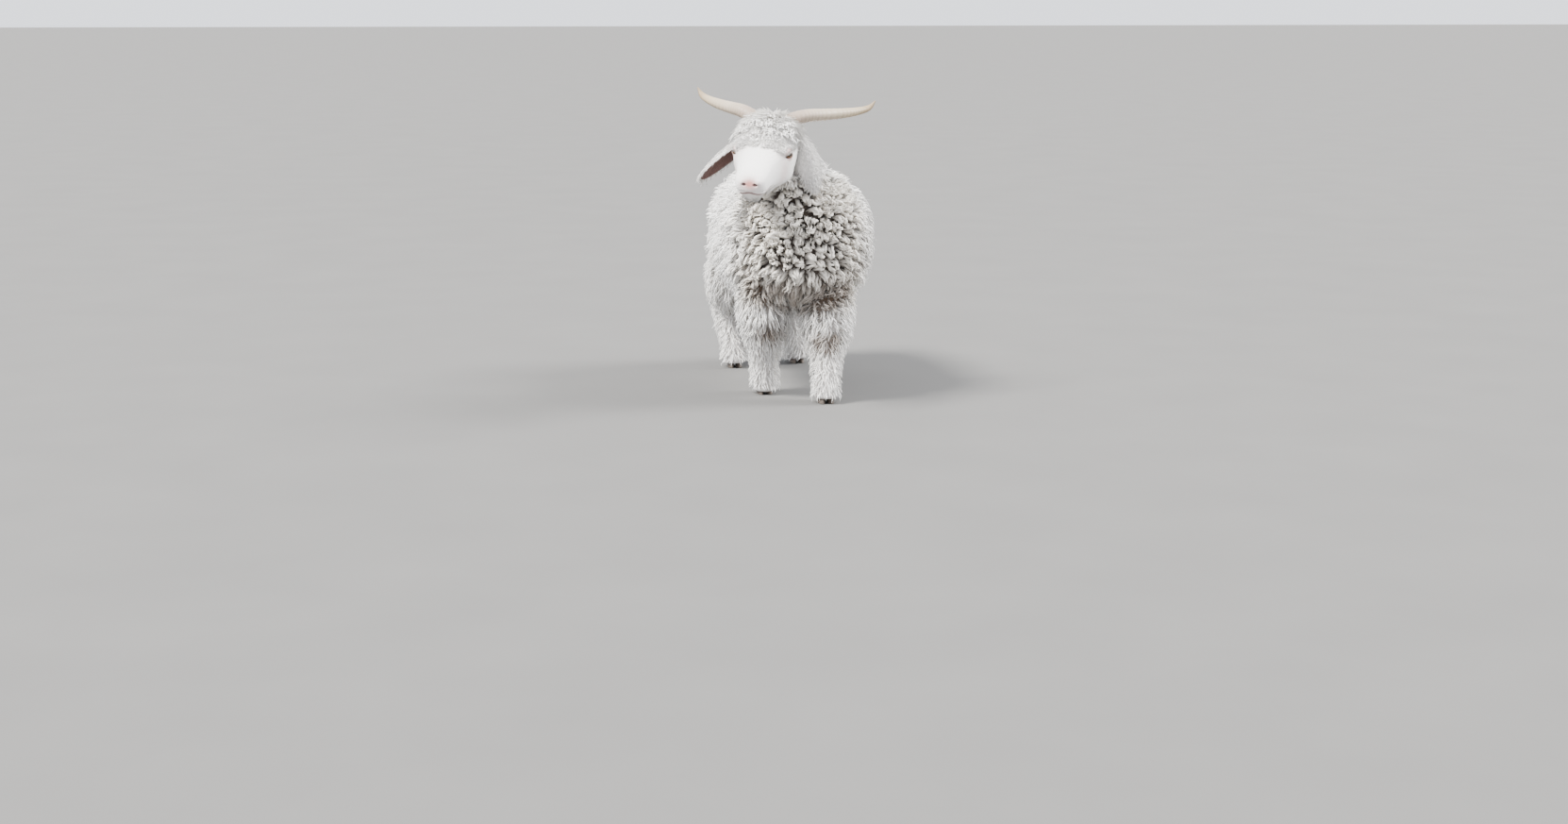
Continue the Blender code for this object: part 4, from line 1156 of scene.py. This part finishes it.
def face_hair(tree, shade):
    """Short hair on the face, longer on the brow, under the chin and at the back of the head."""
    form = FORMS["head"]
    t, turn = places(form, FACE_SPACING, 0.02, 0.90, coat=0.0)
    keep, root, out = on_skin(tree, form.point(t, turn, grow=-SHORT_HAIR), 0.012)
    side, along, up = local(root)
    clear = far(side / 0.020, (along - 0.275) / 0.014, (up + 0.02) / 0.014) > 1.0
    line = up - LIP_UP + LIP_DROP * np.abs(side) / LIP_HALF_WIDTH
    clear &= (np.abs(line) > 0.003) | (along < 0.17)
    for s in (-1, 1):
        slant, away, rise = eye_axes(s)
        gap = root - eye_at(s)
        a = (gap @ slant) / (LID_HALF_LENGTH + 0.004)
        b = (gap @ rise) / (LID_HALF_HEIGHT + 0.004)
        clear &= (a * a + b * b > 1) | (gap @ away < 0)
        clear &= np.linalg.norm(root - in_head(NOSTRIL_SIDE * s, 0.272, -0.020), axis=1) > 0.0105
    t, turn, root, out = t[keep][clear], turn[keep][clear], root[clear], unit(out)[clear]
    side, along, up = local(root)
    n = len(root)
    back = step(-along, -0.075, 0.02)
    low = step(-up, 0.055, 0.095)
    brow = step(-along - 0.012 * ripple(root, 0.04, 21), -0.185, -0.095) * step(up, 0.0, 0.032)
    beard = step(along, 0.150, 0.180) * step(-up, 0.050, 0.066)
    length = 0.0052 + 0.0040 * step(-along, -0.20, -0.08) + 0.014 * back + 0.011 * brow
    length = length + 0.007 * low * step(-along, -0.16, -0.05) + 0.012 * beard
    lie = (
        -FORWARD[None] * (0.9 - 0.4 * low[:, None]) + LEFT[None] * np.sign(side)[:, None] * 0.35
        - UP[None] * (0.25 + 0.8 * low[:, None])
    )
    lie = unit(lie) + RNG.normal(0, 0.18, (n, 3))
    # Painted shade below each eye, laid on as brown; roots at the back of the head darkened with dust
    # and painted shade
    shadow = bell(far(np.abs(side) - 0.056, along - 0.136, (up + 0.032) / 2), 0.024)
    kind = lock_kind(n, 0.30 * shadow, 0.20 * back)
    lie += beard[:, None] * (FORWARD * 0.9 - UP * 0.8) - brow[:, None] * 0.25 * UP
    lie += brow[:, None] * (FORWARD * 1.7 + LEFT * (side * 8)[:, None])
    depth = length * (0.06 + 0.25 * back + 0.18 * brow + 0.18 * beard) * RNG.uniform(0.7, 1.3, n)
    locks = dict(
        root=root, out=out, lie=lie, depth=depth, sweep=length * RNG.uniform(0.8, 1.2, n),
        radius=(0.00062 + 0.0011 * back + 0.0007 * brow) * RNG.uniform(0.7, 1.3, n),
        curl=0.0006 + 0.002 * back + 0.0012 * brow, turns=RNG.uniform(0.2, 0.9, n),
        uv=columns(turn / TURN, t), kind=kind, gather=np.zeros((n, 3)),
        phase=RNG.uniform(0, TURN, n),
    )
    long = length > LONG_HAIR
    for name, which, stations in (("face_hair", ~long, 2), ("brow_hair", long, 3)):
        make_locks(name, pick(locks, which), shade, stations=stations, sides=3, flat=0.4,
                   sink=0.0008)


def in_zone(zone, root):
    """Which roots on the head carry the curls of a zone."""
    side, along, up = local(root)
    if zone == "crown":
        fringe = 0.120 - 12 * side**2 + 0.010 * ripple(root, 0.03, 12)
        behind_ear = (np.abs(side) > 0.056) & (along < 0.03)
        return (up > 0.022) & (along > -0.05) & (along < fringe) & ~behind_ear
    if zone == "cheek":
        jaw = (up < -0.075) & (along < 0.10)
        return (along < 0.035) & (up < 0.020) | (along < -0.040) | jaw
    return np.ones(len(root), bool)


def head_curls(tree, shade):
    """Curls on the crown, which fall forward, and on the cheeks and the nape, which hang."""
    form = FORMS["head"]
    rows = []
    for zone, spacing in CURL_SPACINGS.items():
        if zone == "nape":
            root, share, turn = cap_places(form, 0.0, spacing)
            t = 0.02 * share
        else:
            t, turn = places(form, spacing, 0.0, 0.62, coat=0.0)
            root = form.point(t, turn, grow=-SHORT_HAIR)
        keep, root, normal = on_skin(tree, root, 0.010)
        ok = in_zone(zone, root)
        t, turn, root, out = t[keep][ok], turn[keep][ok], root[ok], unit(normal)[ok]
        side, along, up = local(root)
        n = len(root)
        if zone == "crown":
            lie = FORWARD * 1.0 + LEFT * (side * 9)[:, None] - UP * 0.25
            fade = 1 - 0.55 * step(along, 0.045, 0.115)
            depth = 0.017 * RNG.uniform(0.7, 1.2, n) * fade
            sweep = 0.034 * RNG.uniform(0.7, 1.2, n) * fade
        else:
            lie = hang(root, out) - FORWARD * 0.5
            depth = 0.015 * RNG.uniform(0.7, 1.2, n)
            sweep = 0.020 * RNG.uniform(0.7, 1.2, n)
        middle_t, middle_turn = places(form, CURL_STAPLE, 0.0, 0.62, coat=0.0)
        centres = form.point(middle_t, middle_turn, grow=-SHORT_HAIR)
        gather, staple = staples(root, out, centres, RNG.uniform(0.35, 0.65, n))
        swirl = ripples(centres[staple], 0.06, (7, 8, 9))
        lie = unit(lie) + swirl * 0.40 + RNG.normal(0, 0.12, (n, 3))
        rng = np.random.default_rng(6)
        tone, begin = (rng.random(len(centres))[staple] for _ in range(2))
        # Roots darkened a little everywhere with dust and painted shade, more on the lower cheeks as
        # painted shade between cheek and ear
        kind = lock_kind(n, 0.0, 0.07 + 0.55 * (zone == "cheek") * step(-up, 0.0, 0.05))
        rows.append(dict(
            root=root, out=out, lie=lie, depth=depth, sweep=sweep,
            radius=0.0027 * RNG.uniform(0.7, 1.25, n), curl=0.0036 * RNG.uniform(0.7, 1.2, n),
            turns=0.8 + 0.6 * tone, uv=columns(turn / TURN, t), kind=kind, gather=gather,
            phase=begin * TURN + RNG.normal(0, 0.4, n),
        ))
    make_locks("head_curls", join(rows), shade, stations=9)


def ear_hair(shade):
    """White hair over the back of each ear and past its rim."""
    rows = []
    for s, cell in ((-1, 0), (1, 1)):
        u, v = (a.ravel() for a in np.meshgrid(np.linspace(0.02, 0.99, 46), np.linspace(-1, 1, 19)))
        u = np.clip(u + RNG.uniform(-0.011, 0.011, u.size), 0.01, 1)
        v = np.clip(v + RNG.uniform(-0.05, 0.05, v.size), -1, 1)
        root, out, run = ear_sheet(s, u, v, np.full(u.size, -0.0005))
        n = len(root)
        _, rim, _ = ear_sheet(s, u, np.sign(v), np.zeros(n))
        edge = step(np.abs(v), 0.75, 1.0)
        across = unit(np.cross(run, out)) * np.sign(v)[:, None]
        toward = np.where(dot(across, rim) > 0, across, -across)
        lie = run + toward * (0.15 + 0.6 * edge)[:, None] + RNG.normal(0, 0.2, (n, 3))
        length = 0.010 + 0.006 * edge + 0.006 * step(u, 0.8, 1.0)
        length = length + (1 - step(u, 0.05, 0.55)) * (0.008 + 0.008 * edge)
        kind = lock_kind(n)
        rows.append(dict(
            root=root, out=out, lie=lie, depth=length * RNG.uniform(0.15, 0.35, n),
            sweep=length * RNG.uniform(0.8, 1.2, n), radius=0.0013 * RNG.uniform(0.7, 1.3, n),
            curl=np.full(n, 0.001), turns=RNG.uniform(0.2, 0.8, n),
            uv=columns((v * 0.48 + 0.5 + cell) / 2, u), kind=kind, gather=np.zeros((n, 3)),
            phase=RNG.uniform(0, TURN, n),
        ))
    make_locks("ear_hair", join(rows), shade, stations=4, sides=3, flat=0.5, sink=0.001)


def lashes(shade):
    """A row of pale lashes along each upper lid, bending out and down."""
    rows = []
    n = LASHES
    for s in (-1, 1):
        slant, away, rise = eye_axes(s)
        a = np.linspace(0.10, 0.90, n) * math.pi + RNG.uniform(-0.03, 0.03, n)
        x, z = np.cos(a) * LID_HALF_LENGTH, np.sin(a) ** 1.35 * (LID_HALF_HEIGHT + 0.0012)
        level = EYE_RADIUS + LID_DEPTH - 0.0004
        forth = np.sqrt(np.maximum(level**2 - x**2 - z**2, 0))
        root = eye_at(s) + slant * x[:, None] + rise * z[:, None] + away * forth[:, None]
        out = unit(away + slant * (x * 30)[:, None] + rise * 0.35)
        lie = np.tile(-rise, (n, 1)) + slant * (x * 40)[:, None] + RNG.normal(0, 0.10, (n, 3))
        kind = lock_kind(n, 0.25)
        rows.append(dict(
            root=root, out=out, lie=lie, depth=RNG.uniform(0.0055, 0.0080, n),
            sweep=RNG.uniform(0.0020, 0.0038, n), radius=np.full(n, 0.00032),
            curl=np.full(n, 0.0001), turns=np.full(n, 0.2),
            uv=columns(a / math.pi / 2 + 0.5 * (s > 0), np.full(n, 0.5)), kind=kind,
            gather=np.zeros((n, 3)), phase=np.zeros(n),
        ))
    make_locks("lashes", join(rows), shade, stations=5, sides=3, flat=0.9, sink=0.0006)


# Horns, hooves and eyes


def place(obj, node, slot, material):
    """Puts a smooth finer piece in the place of a node of the frame."""
    obj.data.shade_smooth()
    attach(obj, material)
    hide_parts(node)


def make_horn(side, name, material):
    """A horn with uneven growth rings that fade towards the tip."""
    rings, sides = 170, 36
    form = horn_form(side)
    t = np.repeat(np.linspace(0, 1, rings), sides)
    turn = np.tile(np.arange(sides) * TURN / sides, rings)
    wave = t * 30 + 0.5 * np.sin(t * 19) + 0.12 * np.sin(turn * 2)
    ridge = (np.abs(np.sin(wave * math.pi)) ** 0.7 - 0.6) * RING_HEIGHT
    fade = (1 - step(t, 0.55, 0.92)) * step(t, 0.0, 0.05)
    keel = KEEL_HEIGHT * np.cos(turn - 0.6) * (1 - t)
    points = form.point(t, turn, grow=ridge * fade + keel - FIT)
    obj = new_object(name + "_fine", points, tube_faces(rings, sides))
    index = np.zeros(len(obj.data.loops), np.int32)
    obj.data.loops.foreach_get("vertex_index", index)
    add_map(obj.data, "Lock", columns(turn[index] / TURN, t[index]))
    place(obj, name, "horn", material)


def make_hoof(leg, side, name, material):
    """One claw: a flat sole, a sloping ringed wall and a rounded heel."""
    foot_x, foot_y, _ = LEG_JOINTS[leg][-1]
    rings, sides = 22, 40
    points = []
    for i in range(rings):
        up = i / (rings - 1)
        shrink, slide = np.interp(up, (0, 0.45, 1), (1.0, 0.95, 0.82)), up * 0.13
        ring = 0.0004 * math.sin(up * 34) * (0.2 < up < 0.98)
        for j in range(sides):
            a = TURN * j / sides
            half_width = HOOF_WIDTH / 2 * shrink * (1 + 0.2 * math.sin(a)) * 0.9 - 0.0003 + ring
            half_length = HOOF_LENGTH / 2 * shrink - 0.0003 + ring
            x = foot_x + side * (CLAW_GAP + HOOF_WIDTH / 2) + math.cos(a) * half_width
            y = foot_y + math.sin(a) * half_length + slide * HOOF_LENGTH - 0.002
            points.append((x, y, up * HOOF_HEIGHT))
    obj = new_object(name + "_fine", points, tube_faces(rings, sides))
    place(obj, name, "hoof", material)


def make_eye(side, name, material):
    """An eyeball with a slightly raised cornea."""
    slant, out, rise = eye_axes(side)
    obj = ball(name + "_fine", (0, 0, 0), 1.0, 56, 36)
    points = np.array([v.co for v in obj.data.vertices])
    gaze = columns(points @ slant, points @ out, points @ rise)
    raised = EYE_RADIUS * (1 + 0.035 * step(gaze[:, 1], 0.70, 1.0))
    obj.data.vertices.foreach_set("co", (eye_at(side) + points * raised[:, None]).ravel())
    layer = obj.data.attributes.new("Gaze", "FLOAT_VECTOR", "POINT")
    layer.data.foreach_set("vector", gaze.ravel())
    obj.data.update()
    place(obj, name, "eye", material)


# The scene

FLOOR_HALF = 90
CAMERA_AT = (-1.019, -5.947, 1.1)
CAMERA_TURN = math.radians(9.819)
CAMERA_TILT = math.radians(-11.087)
CAMERA_LENS = 48.09


def sun_light(name, way, spread, strength, colour):
    """A soft sun that shines from that way."""
    light = bpy.data.lights.new(name, "SUN")
    light.angle = math.radians(spread)
    light.energy = strength
    light.color = colour
    link(name, light).rotation_euler = (-Vector(way)).to_track_quat("-Z", "Y").to_euler()


def make_floor():
    """A plain floor of studio paper, a little under the soles."""
    corners = [(x * FLOOR_HALF, y * FLOOR_HALF, 0) for x, y in ((-1, -1), (1, -1), (1, 1), (-1, 1))]
    floor = new_object("floor", corners, [(0, 1, 2, 3)])
    floor.data.transform(Matrix.Translation((0, 0, -0.0005)))
    shading = Shading("floor")
    colour = shading.mix(shading.noise(3.0), (0.120, 0.118, 0.115), (0.138, 0.136, 0.132))
    floor.data.materials.append(
        shading.finish(Base_Color=colour, Roughness=0.95, Specular_IOR_Level=0.1))


def make_sky():
    """Even light from all round and two soft suns."""
    world = bpy.data.worlds.new("studio")
    bpy.context.scene.world = world
    world.use_nodes = True
    sky = world.node_tree.nodes["Background"]
    sky.inputs[0].default_value = (0.90, 0.93, 1.0, 1)
    sky.inputs[1].default_value = 2.0
    sun_light("key", (-0.75, -0.22, 1.05), 16, 12.0, (1.0, 0.98, 0.94))
    sun_light("side", (0.95, -0.02, 0.75), 24, 7.2, (1.0, 0.99, 0.97))


def make_camera():
    """The photo's own view, from its place over the ground, its direction and its framing."""
    camera = bpy.data.cameras.new("camera")
    camera.sensor_width = 36
    camera.lens = CAMERA_LENS
    obj = link("camera", camera)
    look = Vector((
        math.sin(CAMERA_TURN) * math.cos(CAMERA_TILT),
        math.cos(CAMERA_TURN) * math.cos(CAMERA_TILT),
        math.sin(CAMERA_TILT),
    ))
    obj.location = Vector(CAMERA_AT) + Vector(SHIFT)
    obj.rotation_euler = look.to_track_quat("-Z", "Y").to_euler()
    bpy.context.scene.camera = obj


def dress_skin(skin):
    """Paints the markings and painted shade on the skin, and returns a search tree of its faces."""
    count = len(skin.data.vertices)
    points = np.zeros(count * 3)
    skin.data.vertices.foreach_get("co", points)
    points = points.reshape(-1, 3)
    normals = np.zeros(count * 3, np.float32)
    skin.data.vertex_normals.foreach_get("vector", normals)
    dust_and_shade, brown = markings_and_shade(points)
    _, along, up = local(points)
    face = step(along, -0.06, 0.0) * step(up, -0.13, -0.10)
    face *= step(-np.linalg.norm(points - HEAD_AT, axis=1), -0.36, -0.32)
    covered = 1 - face
    # The skin under the fleece gets painted shade and dust, darkest on the chest; the face stays clear
    paint(skin.data, "Kind", columns(np.full(count, 0.5), brown * covered,
                                     (0.22 + 0.78 * dust_and_shade) * covered))
    pink, dark = pinkness(points)
    paint(skin.data, "Bare", columns(pink, ear_cups(points, normals.reshape(-1, 3)), dark))
    faces = [tuple(p.vertices) for p in skin.data.polygons]
    tree = BVHTree.FromPolygons([Vector(p) for p in points], faces)
    attach(skin, skin_material())
    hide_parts("torso", "neck", "head", "tail", "ear_left", "ear_right",
                *("leg_" + name for name in LEG_JOINTS))
    return tree


def main():
    make_floor()
    make_sky()
    make_camera()
    tree = dress_skin(make_skin())
    wool = wool_material("fleece", WOOL_TIP, WOOL_MID, ROOT_DUST_AND_SHADE, 0.35)
    hair = wool_material("short_hair", HAIR_TIP, HAIR_MID, HAIR_ROOT, 0.25)
    fleece(tree, wool)
    face_hair(tree, hair)
    head_curls(tree, wool)
    ear_hair(hair)
    lashes(hair)
    horn, hoof, eye = horn_material(), hoof_material(), eye_material()
    for s, where in ((-1, "right"), (1, "left")):
        make_horn(s, "horn_" + where, horn)
        make_eye(s, "eye_" + where, eye)
    for name in LEG_JOINTS:
        for s, inner_side in ((-1, "left"), (1, "right")):
            claw = "inner" if name.endswith(inner_side) else "outer"
            make_hoof(name, s, f"hoof_{name}_{claw}", hoof)


main()
